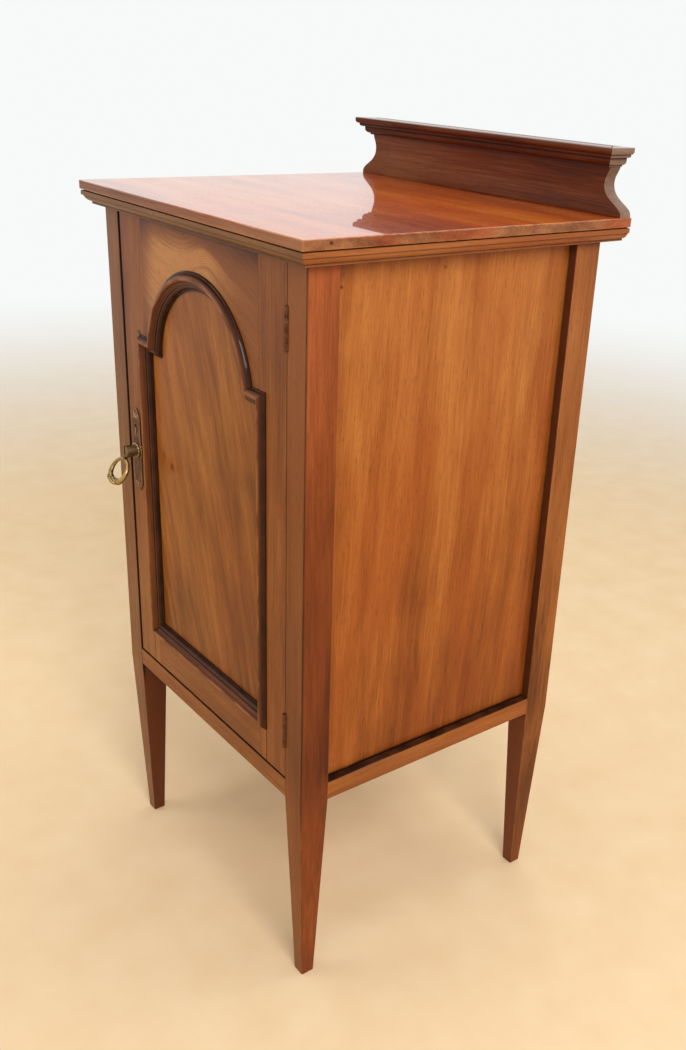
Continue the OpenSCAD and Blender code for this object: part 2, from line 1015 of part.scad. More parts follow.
// The door moulding's section: x in from its outer edge, y proud of the door's face
module bead_section() {
    lip = [bead_lip, bead_lip * 1.3];
    crest = [[bead_w * 0.3, bead_h - 0.2], [bead_w * 0.47, bead_h - 0.6]];
    step_x = bead_on + 0.5;
    foot = [bead_w - bead_lip, bead_foot_h - door_panel_set];
    polygon(concat(
        [[0, 0], [0, bead_lip], lip],
        curve([lip, lip + [0.6, 2], crest[0] - [1.6, 0.2], crest[0]], 5),
        curve([crest[0], crest[0] + [0.8, 0.3], crest[1] + [-0.8, 0.7], crest[1]], 4),
        curve([crest[1], crest[1] - [-0.3, 2.4], [step_x - 2.4, 1.6], [step_x, 1.2]], 6),
        [[step_x, 0.4]],
        curve([[step_x, 0.4], [step_x + 2.6, 0.2], foot + [-0.2, 2.4], foot], 5),
        [[bead_w, foot[1]], [bead_w, -door_panel_set], [bead_on, -door_panel_set], [bead_on, 0]]
    ));
}

// A straight length that runs down from the origin, with its section in from x = 0
module bead_run(len) {
    rotate([90, 0, 0])
        linear_extrude(len)
            bead_section();
}

// The line where the arch meets a shoulder: equally far inside both outer edges
function arch_seam(inside) = [
    sqrt(pow(arch_r - inside, 2) - pow(arch_rise - inside, 2)),
    bead_z[1] - inside
];
seam_in = bead_w + 0.4;
seam = [for (i = [-1 : 1 : 10]) arch_seam(i * seam_in / 10)];

// Cuts its child to a plan in the door's plane
module cut_to(plan) {
    intersection() {
        children();
        translate([0, 0, -door_t])
            linear_extrude(2 * door_t)
                polygon(plan);
    }
}

module bead_left() {
    cut_to([
        [-bead_half - 1, bead_z[0] - 1],
        [-bead_half + seam_in, bead_z[0] + seam_in],
        [-bead_half + seam_in, bead_z[1] - seam_in],
        [-bead_half - 1, bead_z[1] + 1]
    ])
        translate([-bead_half, bead_z[1], 0])
            bead_run(bead_z[1] - bead_z[0]);
}

module bead_bottom() {
    cut_to([
        [-bead_half - 1, bead_z[0] - 1],
        [bead_half + 1, bead_z[0] - 1],
        [bead_half - seam_in, bead_z[0] + seam_in],
        [-bead_half + seam_in, bead_z[0] + seam_in]
    ])
        translate([-bead_half, bead_z[0], 0])
            rotate([0, 0, 90])
                bead_run(2 * bead_half);
}

module bead_shoulder() {
    cut_to(concat(
        [[-bead_half - 1, bead_z[1] + 1], [-bead_half + seam_in, bead_z[1] - seam_in]],
        [for (i = [len(seam) - 1 : -1 : 0]) [-seam[i][0], seam[i][1]]]
    ))
        translate([0, bead_z[1], 0])
            rotate([0, 0, -90])
                bead_run(bead_half);
}

module bead_arch() {
    wide = arch_r + 5;
    cut_to(concat(
        [for (i = [len(seam) - 1 : -1 : 0]) [-seam[i][0], seam[i][1]]],
        [[-wide, seam[0][1]], [-wide, arch_z + wide], [wide, arch_z + wide], [wide, seam[0][1]]],
        seam
    ))
        translate([0, arch_z, 0])
            rotate_extrude(angle = 180, $fn = 128)
                translate([arch_r, 0])
                    mirror([1, 0])
                        bead_section();
}

module door_moulding_left() {
    color(mahogany_dark)
        in_case() on_door() bead_left();
}

module door_moulding_right() {
    color(mahogany_dark)
        in_case() on_door() mirror([1, 0, 0]) bead_left();
}

module door_moulding_bottom() {
    color(mahogany_dark)
        in_case() on_door() bead_bottom();
}

module door_moulding_shoulders() {
    color(mahogany_dark)
        in_case() on_door() {
            bead_shoulder();
            mirror([1, 0, 0]) bead_shoulder();
        }
}

module door_moulding_arch() {
    color(mahogany_dark)
        in_case() on_door() bead_arch();
}

// ---- Hinges ----

// Draws round a hinge's pin: z up from the hinge's lower end
module at_hinge(i) {
    translate([hinge_x, 0, hinge_z[i]])
        children();
}

// Knuckles from the first one given, every other one
module knuckle_row(first, r, gap) {
    for (i = [first : 2 : knuckles - 1])
        translate([0, 0, i * knuckle_l + gap / 2])
            cylinder(r = r, h = knuckle_l - gap);
}

hinge_screw_y = leaf_w * 0.6;

module leaf_screws(len) {
    for (s = hinge_screw_z)
        translate([door_gap / 2, hinge_screw_y, s * hinge_l])
            rotate([0, 90, 0])
                wood_screw(hinge_screw_r, len);
}

module leaf_screw_holes(len) {
    for (s = hinge_screw_z)
        translate([door_gap / 2, hinge_screw_y, s * hinge_l])
            rotate([0, 90, 0])
                screw_hole(hinge_screw_r, len);
}

// A leaf on the side of +x; the door's leaf is its mirror image with the other knuckles
module leaf(first) {
    difference() {
        union() {
            difference() {
                box([door_gap / 2, 0, 0], [door_gap / 2 + leaf_t, leaf_w, hinge_l]);
                knuckle_row(1 - first, knuckle_r + rest_gap, -knuckle_gap);
            }
            knuckle_row(first, knuckle_r, knuckle_gap);
        }
        translate([0, 0, -1])
            cylinder(r = hinge_pin_r + run_fit, h = hinge_l + 2);
        leaf_screw_holes(hinge_screw_len);
    }
}

// The recess for a leaf, its screws and the knuckles
module leaf_space() {
    box([door_gap / 2 - 1, -1, -fit], [door_gap / 2 + leaf_t, leaf_w + fit, hinge_l + fit]);
    translate([0, 0, -rest_gap])
        cylinder(r = knuckle_r + rest_gap, h = hinge_l + 2 * rest_gap);
    leaf_screw_holes(hinge_screw_len + rest_gap);
}

module hinge_spaces(case_side) {
    for (i = [0, 1])
        at_hinge(i)
            mirror([case_side ? 0 : 1, 0, 0])
                leaf_space();
}

module case_leaf(i) {
    color(brass)
        in_case() at_hinge(i) leaf(0);
}

module door_leaf(i) {
    color(brass)
        in_case() at_hinge(i) mirror([1, 0, 0]) leaf(1);
}

module hinge_pin(i) {
    color(brass)
        in_case() at_hinge(i) cylinder(r = hinge_pin_r, h = hinge_l);
}

module hinge_lower_case_leaf() {
    case_leaf(0);
}

module hinge_lower_door_leaf() {
    door_leaf(0);
}

module hinge_lower_pin() {
    hinge_pin(0);
}

module hinge_upper_case_leaf() {
    case_leaf(1);
}

module hinge_upper_door_leaf() {
    door_leaf(1);
}

module hinge_upper_pin() {
    hinge_pin(1);
}

module hinge_case_screws() {
    color(brass)
        in_case() for (i = [0, 1])
            at_hinge(i) leaf_screws(hinge_screw_len);
}

module hinge_door_screws() {
    color(brass)
        in_case() for (i = [0, 1])
            at_hinge(i) mirror([1, 0, 0]) leaf_screws(hinge_screw_len);
}

// ---- Lock ----

// The lock's box from the selvedge to its inner end
lock_x = [door_x[0], door_x[0] + lock_box_w];
box_z = [lock_z - lock_box_h / 2, lock_z + lock_box_h / 2];
plate_z = [lock_z - lock_plate_h / 2, lock_z + lock_plate_h / 2];

// A hole in the shape of the keyhole between two depths
module keyhole(y0, y1) {
    translate([handle_x, y1, key_z])
        rotate([90, 0, 0])
            cylinder(r = keyhole_r, h = y1 - y0);
    box([handle_x - keyhole_w / 2, y0, key_z - keyhole_l], [handle_x + keyhole_w / 2, y1, key_z]);
}

// The bolt's bar, or the space it slides in
module bolt_space(grow, reach) {
    box([leg_w - reach, bolt_y[0] - grow, bolt_z - bolt_h / 2 - grow],
        [lock_x[0] + lock_wall + 1, bolt_y[1] + grow, bolt_z + bolt_h / 2 + grow]);
}

// Places of the lock's screws on its back plate, as x and z
lock_screw_places = [
    for (z = [plate_z[0] + 2.5, plate_z[1] - 2.5]) [lock_x[0] + 10, z],
    for (z = [lock_z - 10, lock_z + 10]) [lock_x[0] + lock_plate_w - 2.5, z]
];

module lock_screws() {
    color(brass)
        in_case() for (p = lock_screw_places)
            translate([p[0], door_y[1], p[1]])
                rotate([90, 0, 0])
                    wood_screw(lock_screw_r, lock_screw_len);
}

module lock_screw_holes() {
    for (p = lock_screw_places)
        translate([p[0], door_y[1], p[1]])
            rotate([90, 0, 0])
                screw_hole(lock_screw_r, lock_screw_len + rest_gap);
}

module lock_case() {
    color(brass)
        in_case() {
            difference() {
                union() {
                    box([lock_x[0], lock_y[0], plate_z[0]], [lock_x[0] + lock_wall, lock_y[1], plate_z[1]]);
                    box([lock_x[0], lock_y[1] - lock_wall, plate_z[0]],
                        [lock_x[0] + lock_plate_w, lock_y[1], plate_z[1]]);
                    box([lock_x[0], lock_y[0] + lock_wall, box_z[0]], [lock_x[1], lock_y[1], box_z[1]]);
                }
                box([lock_x[0] + lock_wall, lock_y[0] - 1, box_z[0] + lock_wall],
                    [lock_x[1] - lock_wall, lock_y[1] - lock_wall, box_z[1] - lock_wall]);
                bolt_space(fit, 0);
                lock_screw_holes();
            }
            translate([handle_x, lock_y[1] - lock_wall, key_z])
                rotate([90, 0, 0])
                    cylinder(r = key_pin_r, h = lock_d - lock_wall + 3);
        }
}

module lock_cap() {
    color(brass)
        in_case() difference() {
            box([lock_x[0] + lock_wall, lock_y[0], box_z[0]], [lock_x[1], lock_y[0] + lock_wall, box_z[1]]);
            keyhole(lock_y[0] - 1, lock_y[0] + lock_wall + 1);
        }
}

// The bolt, with the gate in its upper edge that the key's bit moves
module lock_bolt() {
    gate = [handle_x - 3, handle_x + 3];
    color(brass)
        in_case() difference() {
            box([bolt_home, bolt_y[0], bolt_z - bolt_h / 2], [bolt_home + bolt_len, bolt_y[1], bolt_z + bolt_h / 2]);
            box([gate[0], bolt_y[0] - 1, bolt_z + bolt_h / 5], [gate[1], bolt_y[1] + 1, bolt_z + bolt_h]);
        }
}

// A leaf spring from the lock's inner end down to the bolt's upper edge
module lock_spring() {
    thick = 0.6;
    foot = [lock_x[1] - lock_wall - 7, bolt_z + bolt_h / 2 + rest_gap];
    heel = [lock_x[1] - lock_wall - fit, bolt_z + bolt_h / 2 + 6];
    color(steel)
        in_case()
            translate([0, bolt_y[1], 0])
                rotate([90, 0, 0])
                    linear_extrude(bolt_t)
                        polygon([
                            foot,
                            foot + [1, 0],
                            heel - [thick, 1],
                            heel - [0, 4],
                            heel,
                            heel + [0, 2],
                            heel + [-thick, 2],
                            heel - [thick, 0],
                            foot + [0, thick]
                        ]);
}

// The keep stands on the left leg's inner face, with a slot for the bolt
keep_y = [2, lock_y[1] - rest_gap];
keep_screw_places = [
    for (z = [bolt_z - keep_h / 2 + 2.5, bolt_z + keep_h / 2 - 2.5])
        [leg_w + keep_t, (keep_y[0] + bolt_y[0]) / 2, z]
];

module keep_screw_holes() {
    for (p = keep_screw_places)
        translate(p)
            rotate([0, -90, 0])
                screw_hole(lock_screw_r, lock_screw_len + rest_gap);
}

module lock_keep() {
    color(brass)
        in_case() difference() {
            box([leg_w, keep_y[0], bolt_z - keep_h / 2], [leg_w + keep_t, keep_y[1], bolt_z + keep_h / 2]);
            bolt_space(rest_gap, mortise_end);
            keep_screw_holes();
        }
}

module keep_screws() {
    color(brass)
        in_case() for (p = keep_screw_places)
            translate(p)
                rotate([0, -90, 0])
                    wood_screw(lock_screw_r, lock_screw_len);
}

// The recess in the stile for the lock
module lock_space() {
    box([lock_x[0] - 1, lock_y[0] - fit, plate_z[0] - fit],
        [lock_x[0] + lock_wall + fit, lock_y[1] + 1, plate_z[1] + fit]);
    box([lock_x[0] - 1, lock_y[1] - lock_wall, plate_z[0] - fit],
        [lock_x[0] + lock_plate_w + fit, lock_y[1] + 1, plate_z[1] + fit]);
    box([lock_x[0], lock_y[0] - fit, box_z[0] - fit], [lock_x[1] + fit, lock_y[1] + 1, box_z[1] + fit]);
    lock_screw_holes();
}

// ---- Handle ----

// Draws round the handle's centre: x across, y up, z out of the plate's front
module on_plate() {
    translate([handle_x, plate_front, handle_z])
        rotate([90, 0, 0])
            children();
}

plate_end_r = plate_wide * 0.39;
plate_tip_r = plate_wide * 0.23;
plate_end_y = plate_h / 2 - plate_tip_r - plate_end_r * 0.8;
plate_pin_places = [plate_h / 2 - plate_pin_in, -plate_h / 2 + plate_pin_in];

module plate_outline() {
    square([plate_w, 2 * plate_end_y], center = true);
    circle(plate_wide / 2);
    for (s = [-1, 1]) {
        translate([0, s * plate_end_y])
            circle(plate_end_r);
        translate([0, s * (plate_h / 2 - plate_tip_r)])
            circle(plate_tip_r);
    }
}

module handle_plate() {
    color(brass)
        in_case() difference() {
            on_plate()
                translate([0, 0, -plate_t])
                    linear_extrude(plate_t)
                        plate_outline();
            keyhole(plate_front - 1, door_set + 1);
            post_screw_hole();
            plate_pin_holes();
        }
}

module plate_pin_holes() {
    on_plate()
        for (y = plate_pin_places)
            translate([0, y, -plate_pin_len - rest_gap])
                cylinder(r = plate_pin_r + run_fit, h = plate_pin_len + rest_gap + 1);
}

module plate_pins() {
    head_r = 2.4 * plate_pin_r;
    color(brass)
        in_case() on_plate()
            for (y = plate_pin_places) {
                translate([0, y, -plate_pin_len])
                    cylinder(r = plate_pin_r, h = plate_pin_len);
                intersection() {
                    translate([0, y, -head_r * 0.4])
                        sphere(head_r, $fn = 32);
                    translate([0, y, 0])
                        cylinder(r = head_r, h = head_r);
                }
            }
}

module post_screw_hole() {
    on_plate()
        translate([0, 0, -plate_t - post_screw_len - rest_gap])
            cylinder(r = post_screw_r + run_fit, h = post_screw_len + plate_t + rest_gap + 1);
}

module handle_post() {
    neck_r = drum_r - 1.3;
    foot_h = 1.6;
    neck_h = 4;
    color(brass)
        in_case() on_plate()
            difference() {
                union() {
                    translate([0, 0, -plate_t - post_screw_len])
                        cylinder(r = post_screw_r, h = post_screw_len + plate_t + 1);
                    cylinder(r = post_foot_r, h = foot_h);
                    cylinder(r = neck_r, h = post_len - 1);
                    translate([0, 0, neck_h])
                        cylinder(r1 = neck_r, r2 = drum_r, h = 1);
                    translate([0, 0, neck_h + 1])
                        cylinder(r = drum_r, h = post_len - neck_h - 1.6);
                    translate([0, 0, post_len - 0.6])
                        cylinder(r1 = drum_r, r2 = drum_r - 0.6, h = 0.6);
                }
                translate([-slot_w / 2, -post_foot_r, post_len - slot_d])
                    cube([slot_w, 2 * post_foot_r, slot_d + 1]);
                translate([0, 0, post_len - pivot_in])
                    rotate([0, 90, 0])
                        cylinder(r = pivot_r + run_fit / 2, h = 4 * drum_r, center = true);
            }
}

module handle_pin() {
    color(brass)
        in_case() on_plate()
            translate([0, 0, post_len - pivot_in])
                rotate([0, 90, 0])
                    cylinder(r = pivot_r, h = 2 * drum_r - 0.6, center = true);
}

// The drop: an eye and tab on the pivot, two bowed strands and a thicker grip
drop_bow = (drop_len - drop_top) / 2;
drop_flat = drop_w / 2 - drop_bow;
swell_r = (strand_r + grip_r) / 2 - 0.2;
collar_r = grip_r * 0.8;
// Angles up from the grip's middle
grip_end = 20;
collar_at = [33, 38];
swell_end = 44;

// Part of one strand, between two angles up from the grip
module bow(r, from, to) {
    translate([drop_flat, 0, -drop_len + drop_bow])
        rotate([90, 0, 0])
            rotate([0, 0, from - 90])
                rotate_extrude(angle = to - from)
                    translate([drop_bow, 0])
                        circle(r, $fn = 32);
}

// A straight bar across the drop
module cross_bar(r, down) {
    translate([0, 0, -down])
        rotate([0, 90, 0])
            cylinder(r = r, h = 2 * drop_flat, center = true, $fn = 32);
}

// Half of the drop: the strand, the swell below it, the grip and the collar between them
module drop_half() {
    bow(strand_r, 0, 180);
    bow(swell_r, 0, swell_end);
    bow(grip_r * 0.93, 0, grip_end);
    bow(collar_r, collar_at[0], collar_at[1]);
}

module handle_drop() {
    tab_t = slot_w - 2 * rest_gap;
    color(brass)
        in_case() translate([handle_x, pivot_y, handle_z])
            rotate([-drop_tilt, 0, 0])
                difference() {
                    union() {
                        rotate([0, 90, 0])
                            cylinder(r = eye_r, h = tab_t, center = true);
                        translate([-tab_t / 2, -strand_r, -drop_top])
                            cube([tab_t, 2 * strand_r, drop_top]);
                        cross_bar(strand_r, drop_top);
                        cross_bar(grip_r, drop_len);
                        drop_half();
                        mirror([1, 0, 0])
                            drop_half();
                    }
                    rotate([0, 90, 0])
                        cylinder(r = pivot_r + run_fit, h = 2 * slot_w, center = true);
                }
}

top_board();
top_moulding_front();
top_moulding_left();
top_moulding_right();
gallery_board();
gallery_cornice_front();
gallery_cornice_left();
gallery_cornice_right();
leg_front_left();
leg_front_right();
leg_rear_left();
leg_rear_right();
side_panel_left();
side_panel_right();
back_panel();
lower_rail_front();
lower_rail_rear();
lower_rail_left();
lower_rail_right();
upper_rail_front();
upper_rail_rear();
upper_rail_left();
upper_rail_right();
bottom_board();
glue_blocks();
shelf();
shelf_bearers();
door_stop();
top_screws();
gallery_screws();
door_stile_lock();
door_stile_hinge();
door_rail_top();
door_rail_bottom();
door_panel();
door_moulding_left();
door_moulding_right();
door_moulding_bottom();
door_moulding_shoulders();
door_moulding_arch();
hinge_upper_case_leaf();
hinge_upper_door_leaf();
hinge_upper_pin();
hinge_lower_case_leaf();
hinge_lower_door_leaf();
hinge_lower_pin();
hinge_case_screws();
hinge_door_screws();
lock_case();
lock_cap();
lock_bolt();
lock_spring();
lock_screws();
lock_keep();
keep_screws();
handle_plate();
plate_pins();
handle_post();
handle_pin();
handle_drop();
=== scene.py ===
# %% [markdown]
# # A bedside cupboard in polished mahogany
#
# The cupboard is already built as exact solids: legs, rails, panels, mouldings, and a door with
# its lock and handle. This lesson gives it its looks. Plain boards keep their solids and only get
# softened edges. The mouldings and the drop handle are worked out again as finer surfaces. Then
# come the finishes, the floor, the light and the camera.

# %% Load the solids as a fixed frame
import json
import math
from types import SimpleNamespace

import bmesh
import bpy
import numpy as np
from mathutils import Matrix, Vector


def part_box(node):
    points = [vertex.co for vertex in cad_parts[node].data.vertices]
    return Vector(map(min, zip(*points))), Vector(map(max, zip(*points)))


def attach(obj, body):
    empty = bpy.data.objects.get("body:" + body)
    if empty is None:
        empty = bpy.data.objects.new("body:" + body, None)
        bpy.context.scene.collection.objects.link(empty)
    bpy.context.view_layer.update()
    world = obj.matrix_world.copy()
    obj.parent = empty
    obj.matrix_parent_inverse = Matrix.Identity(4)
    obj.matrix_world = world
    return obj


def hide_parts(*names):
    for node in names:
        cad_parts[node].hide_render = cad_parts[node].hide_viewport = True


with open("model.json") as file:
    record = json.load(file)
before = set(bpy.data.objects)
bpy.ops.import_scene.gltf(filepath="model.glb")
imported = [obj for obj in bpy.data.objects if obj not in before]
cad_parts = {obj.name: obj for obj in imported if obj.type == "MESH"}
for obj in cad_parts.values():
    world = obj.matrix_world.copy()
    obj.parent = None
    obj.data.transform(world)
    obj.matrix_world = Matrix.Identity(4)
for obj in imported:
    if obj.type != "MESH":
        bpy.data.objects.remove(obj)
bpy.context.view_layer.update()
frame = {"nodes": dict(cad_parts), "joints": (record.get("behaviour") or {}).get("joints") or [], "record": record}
nodes = frame["nodes"]
MM = 0.001

# %% [markdown]
# ## Helpers for shapes
#
# Every new piece is a grid of points: a function of two parameters, or a profile carried along a
# path. A curve with a bevel could make some of them, but a grid puts each point where it is
# wanted, and its points can carry marks of dirt and wear, and of painted shade and highlights.
# The grid is closed round its profile and has a cap at each end, so it is a real solid.

# %% Objects and marks
def add_object(name, data):
    """Makes an object from a mesh, a lamp or a camera, and puts it in the scene."""
    thing = bpy.data.objects.new(name, data)
    bpy.context.scene.collection.objects.link(thing)
    return thing


def add_mark(mesh, name, values, domain):
    """Keeps a number from 0 to 1 for each point or face of a mesh, which its finish reads."""
    values = np.ascontiguousarray(values, np.float32).ravel()
    mesh.attributes.new(name, "FLOAT", domain).data.foreach_set("value", values)


# %% A mesh from a grid of points
SAME_POINT = 1e-7  # metres; nearer points of a grid are one


def grid_faces(rows, cols, wrap_rows):
    """Faces of a grid whose columns close into a ring. Point (i, j) has number i * cols + j, and
    each face joins (i, j), (i, j + 1), (i + 1, j + 1) and (i + 1, j). The first and last rings
    get a cap, unless the rows close as well."""
    i, j = np.meshgrid(np.arange(rows if wrap_rows else rows - 1), np.arange(cols), indexing="ij")
    here, there = i * cols, (i + 1) % rows * cols
    after = (j + 1) % cols
    faces = np.stack([here + j, here + after, there + after, there + j], -1).reshape(-1, 4).tolist()
    if not wrap_rows:
        faces.append(list(range(cols)))
        faces.append(list(range((rows - 1) * cols, rows * cols)))
    return faces


def add_grid(name, grid, wrap_rows=False, sharp=35, **marks):
    """Makes an object from a (rows, cols, 3) grid in metres, with its faces turned outwards and
    its edges sharp past an angle in degrees. A mark is an array of the grid's (rows, cols), or
    of its cols where every ring has the same, or one number."""
    rows, cols = grid.shape[:2]
    mesh = bpy.data.meshes.new(name)
    mesh.from_pydata(grid.reshape(-1, 3).tolist(), [], grid_faces(rows, cols, wrap_rows))
    for mark, values in marks.items():
        add_mark(mesh, mark, np.broadcast_to(values, (rows, cols)), "POINT")
    work = bmesh.new()
    work.from_mesh(mesh)
    bmesh.ops.remove_doubles(work, verts=work.verts, dist=SAME_POINT)
    bmesh.ops.recalc_face_normals(work, faces=work.faces)
    work.to_mesh(mesh)
    work.free()
    mesh.shade_smooth()
    mesh.set_sharp_from_angle(angle=math.radians(sharp))
    return add_object(name, mesh)


# %% Curves, hollows and soft steps for profiles
def bend(points, steps):
    """Points along a cubic curve with four control points, without the first:
    (1 - t)^3 a + 3 t (1 - t)^2 b + 3 t^2 (1 - t) c + t^3 d."""
    t = np.linspace(0, 1, steps + 1)[1:, None]
    a, b, c, d = np.array(points, float)
    return (1 - t) ** 3 * a + 3 * t * (1 - t) ** 2 * b + 3 * t**2 * (1 - t) * c + t**3 * d


def hollow(start, end, steps):
    """Points along a hollow quarter turn between two corners of its box, without the first:
    x goes as 1 - cos and y as sin of an angle from 0 to 90 degrees."""
    turn = np.linspace(0, np.pi / 2, steps + 1)[1:]
    start, end = np.array(start, float), np.array(end, float)
    return start + (end - start) * np.stack([1 - np.cos(turn), np.sin(turn)], -1)


def fade(values, start, end):
    """0 at start, 1 at end and straight between them; end may be the lower one."""
    return np.clip((values - start) / (end - start), 0, 1)


def hump(values, at, reach):
    """A smooth hump of height 1: exp(-((value - at) / reach)^2)."""
    return np.exp(-(((values - at) / reach) ** 2))


def full_turn(count):
    """Evenly spaced angles round a full turn, in radians."""
    return np.linspace(0, 2 * np.pi, count, endpoint=False)


def steps_round(outline):
    """The steps to each point of a closed outline and from it, made 1 long."""
    steps = outline - np.roll(outline, 1, 0)
    steps /= np.maximum(np.linalg.norm(steps, axis=1, keepdims=True), 1e-9)
    return steps, np.roll(steps, -1, 0)


def in_corners(section, reach):
    """How near each point of a closed section is to an inward corner, from 0 to 1, within `reach`
    millimetres. The turn at a point is the cross product of the unit steps to it and from it;
    inward corners turn the other way from the section as a whole."""
    before, after = steps_round(section)
    turn = before[:, 0] * after[:, 1] - before[:, 1] * after[:, 0]
    inward = np.clip(-turn * np.sign(turn.sum()), 0, 1)
    apart = np.linalg.norm(section[:, None] - section, axis=-1)
    return (fade(apart, reach, 0) * inward).max(1)


# %% [markdown]
# ## Softened edges on the plain boards
#
# A cabinet maker takes every sharp arris off with a few strokes of sandpaper, and a century of
# dusting rounds it more. A Bevel modifier could round them, but it can't tell a long arris from
# the small edges of a joint. So the boards are copies of the solids with only their long outward
# edges bevelled. The faces of the bevel are marked, so that the finish can be rubbed thin there.

# %% A board with rubbed arrises
SAME_CORNER = 1e-6  # metres; the solids' triangles meet within this
FLAT_WITHIN = math.radians(0.6)
SHARP_PAST = 0.5  # radians


def rubbed_copy(node, width, shortest=9, steps=3):
    """Copies a node, joins its loose triangles, and bevels its outward edges that are longer than
    `shortest` millimetres. Faces of the bevel get 1 in the attribute "arris"."""
    work = bmesh.new()
    work.from_mesh(nodes[node].data)
    bmesh.ops.remove_doubles(work, verts=work.verts, dist=SAME_CORNER)
    bmesh.ops.dissolve_limit(work, angle_limit=FLAT_WITHIN, verts=work.verts, edges=work.edges)
    for face in work.faces:
        face.material_index = 0
        face.smooth = False
    sharp = [
        edge for edge in work.edges
        if len(edge.link_faces) == 2 and edge.is_convex
        and edge.calc_face_angle() > SHARP_PAST and edge.calc_length() > shortest * MM
    ]
    bmesh.ops.bevel(
        work, geom=sharp, offset=width * MM, offset_type="OFFSET", segments=steps, profile=0.5,
        affect="EDGES", clamp_overlap=True, material=1,
    )
    mesh = bpy.data.meshes.new(node + "_wood")
    work.to_mesh(mesh)
    work.free()
    bevelled = np.zeros(len(mesh.polygons), np.int32)
    mesh.polygons.foreach_get("material_index", bevelled)
    mesh.polygons.foreach_set("use_smooth", bevelled == 1)
    mesh.polygons.foreach_set("material_index", np.zeros_like(bevelled))
    add_mark(mesh, "arris", bevelled, "FACE")
    return add_object(node + "_wood", mesh)


# %% Where a piece belongs
bodies = frame["record"]["behaviour"]["bodies"]
body_of = {node: body for body, members in bodies.items() for node in members}
pieces = {}


def place(piece, node):
    """Rides a new piece on the body of the node that it stands for, and hides the node."""
    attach(piece, body_of[node])
    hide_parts(node)
    pieces[piece.name.removesuffix("_wood")] = piece


# %% The boards, and how wide their arrises are rubbed, in millimetres
ARRIS = (
    ("top_board", 1.1), ("leg_front_left", 0.9), ("leg_front_right", 1.2),
    ("leg_rear_left leg_rear_right", 0.9),
    ("lower_rail_front lower_rail_rear lower_rail_left lower_rail_right", 0.7),
    ("side_panel_left side_panel_right back_panel", 0.4),
    ("door_stile_lock door_stile_hinge", 0.6),
    ("door_rail_top door_rail_bottom door_panel", 0.3), ("door_stop", 0.8),
    ("bottom_board", 0.6), ("shelf", 1.2), ("shelf_bearers", 1), ("glue_blocks", 0.8),
    ("upper_rail_front upper_rail_rear upper_rail_left upper_rail_right", 0.5),
)
for names, width in ARRIS:
    for node in names.split():
        place(rubbed_copy(node, width), node)
print("boards:", len(pieces), "faces:", sum(len(b.data.polygons) for b in pieces.values()))

# %% [markdown]
# ## The legs' inner and side faces
#
# A leg is one square of wood, but its four faces don't look alike. Those that look under the
# cupboard get a dark tone that paints the shade under it, and the outer side is redder than the
# front. Separate materials would break the grain at each corner. So the faces carry marks, and one
# material changes its tones where it finds them.

# %% Marks on the legs' faces
# The sign of a face's place on an axis, times its normal there, is near 1 when it looks outwards
# and near -1 when it looks inwards. One mark is on what looks to the cupboard's middle, where the
# finish paints shade, and "side" on what looks out to its sides.
FACING = 0.7
for name in ("front_left", "front_right", "rear_left", "rear_right"):
    mesh = pieces["leg_" + name].data
    normals, centres = np.zeros((2, len(mesh.polygons), 3), np.float32)
    mesh.polygons.foreach_get("normal", normals.ravel())
    mesh.polygons.foreach_get("center", centres.ravel())
    outward = normals * np.sign(centres)
    inner, side = outward[:, :2].min(1) < -FACING, outward[:, 0] > FACING
    add_mark(mesh, "inner", inner, "FACE")
    add_mark(mesh, "side", side, "FACE")
    print("leg", name, "inner faces:", inner.sum(), "side faces:", side.sum())

# %% [markdown]
# ## The door's moulding
#
# An applied moulding follows the arched panel: two uprights, a bottom length, two short shoulders
# and the arch. Its section is a rounded ridge, a step down to the frame, and a hollow that falls
# to the panel. A bevelled curve would pinch its corners. Here a point of the section that lies s
# inside the outer edge follows the same outline drawn s smaller, so the mitres and the curved
# seams at the arch come out by themselves.

# %% The moulding's section, in millimetres: in from the outer edge, and proud of the door
BEAD_SECTION = np.vstack([
    [[0, 0], [0, 1], [0.25, 1.35]],
    [[1.2, 1.56]],
    bend([[1.2, 1.56], [1.8, 3.56], [3.5, 5.6], [5.1, 5.8]], 9),
    bend([[5.1, 5.8], [5.9, 6.1], [7.19, 6.1], [7.99, 5.4]], 6),
    bend([[7.99, 5.4], [8.29, 3], [9.6, 1.6], [12, 1.2]], 9),
    [[12, 0.4]],
    bend([[12, 0.4], [14.6, 0.2], [15.6, -1], [15.8, -3.4]], 8),
    [[16.8, -3.4], [17, -3.6], [17, -5], [11.5, -5], [11.5, 0]],
])
inset, proud = BEAD_SECTION.T
SLOPES = ((4.4, 2.2, 0.95), (8, 9.5, 0.55))  # where it is clean, where darkest, and how dark: dirt and painted shade
slopes = [darkness * fade(inset, *ends) for *ends, darkness in SLOPES]
# The section's inward corners and its slopes down to the panel are darkened: dirt, and painted shade.
bead_dirt_and_shade = np.max([in_corners(BEAD_SECTION, 1.3), *slopes, proud <= 0], 0)
# The crest is lighter: wear, with the highlight of the lit ridge painted in.
crest_wear_and_highlight = hump(inset, 6.2, 1.6) * (proud > 4)

# %% Where the moulding runs
foot_low, foot_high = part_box("door_moulding_bottom")
face_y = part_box("door_stile_lock")[0].y / MM
middle = (foot_low.x + foot_high.x) / 2 / MM
half = (foot_high.x - foot_low.x) / 2 / MM
foot = foot_low.z / MM
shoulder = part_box("door_moulding_shoulders")[1].z / MM
SHOULDER_RISE = 18
arch_middle = shoulder - SHOULDER_RISE
arch_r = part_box("door_moulding_arch")[1].z / MM - arch_middle
print("moulding half width", round(half, 2), "arch radius", round(arch_r, 2))


# %% Lengths of moulding between two mitres
def bead_length(name, node, across, up):
    """Makes a length of moulding from where its points lie on the door's face, in millimetres:
    arrays of (places along the length, points of the section)."""
    grid = np.stack(np.broadcast_arrays(across + middle, face_y - proud, up), -1)
    place(add_grid(name, grid * MM, dirt=bead_dirt_and_shade, arris=crest_wear_and_highlight), node)


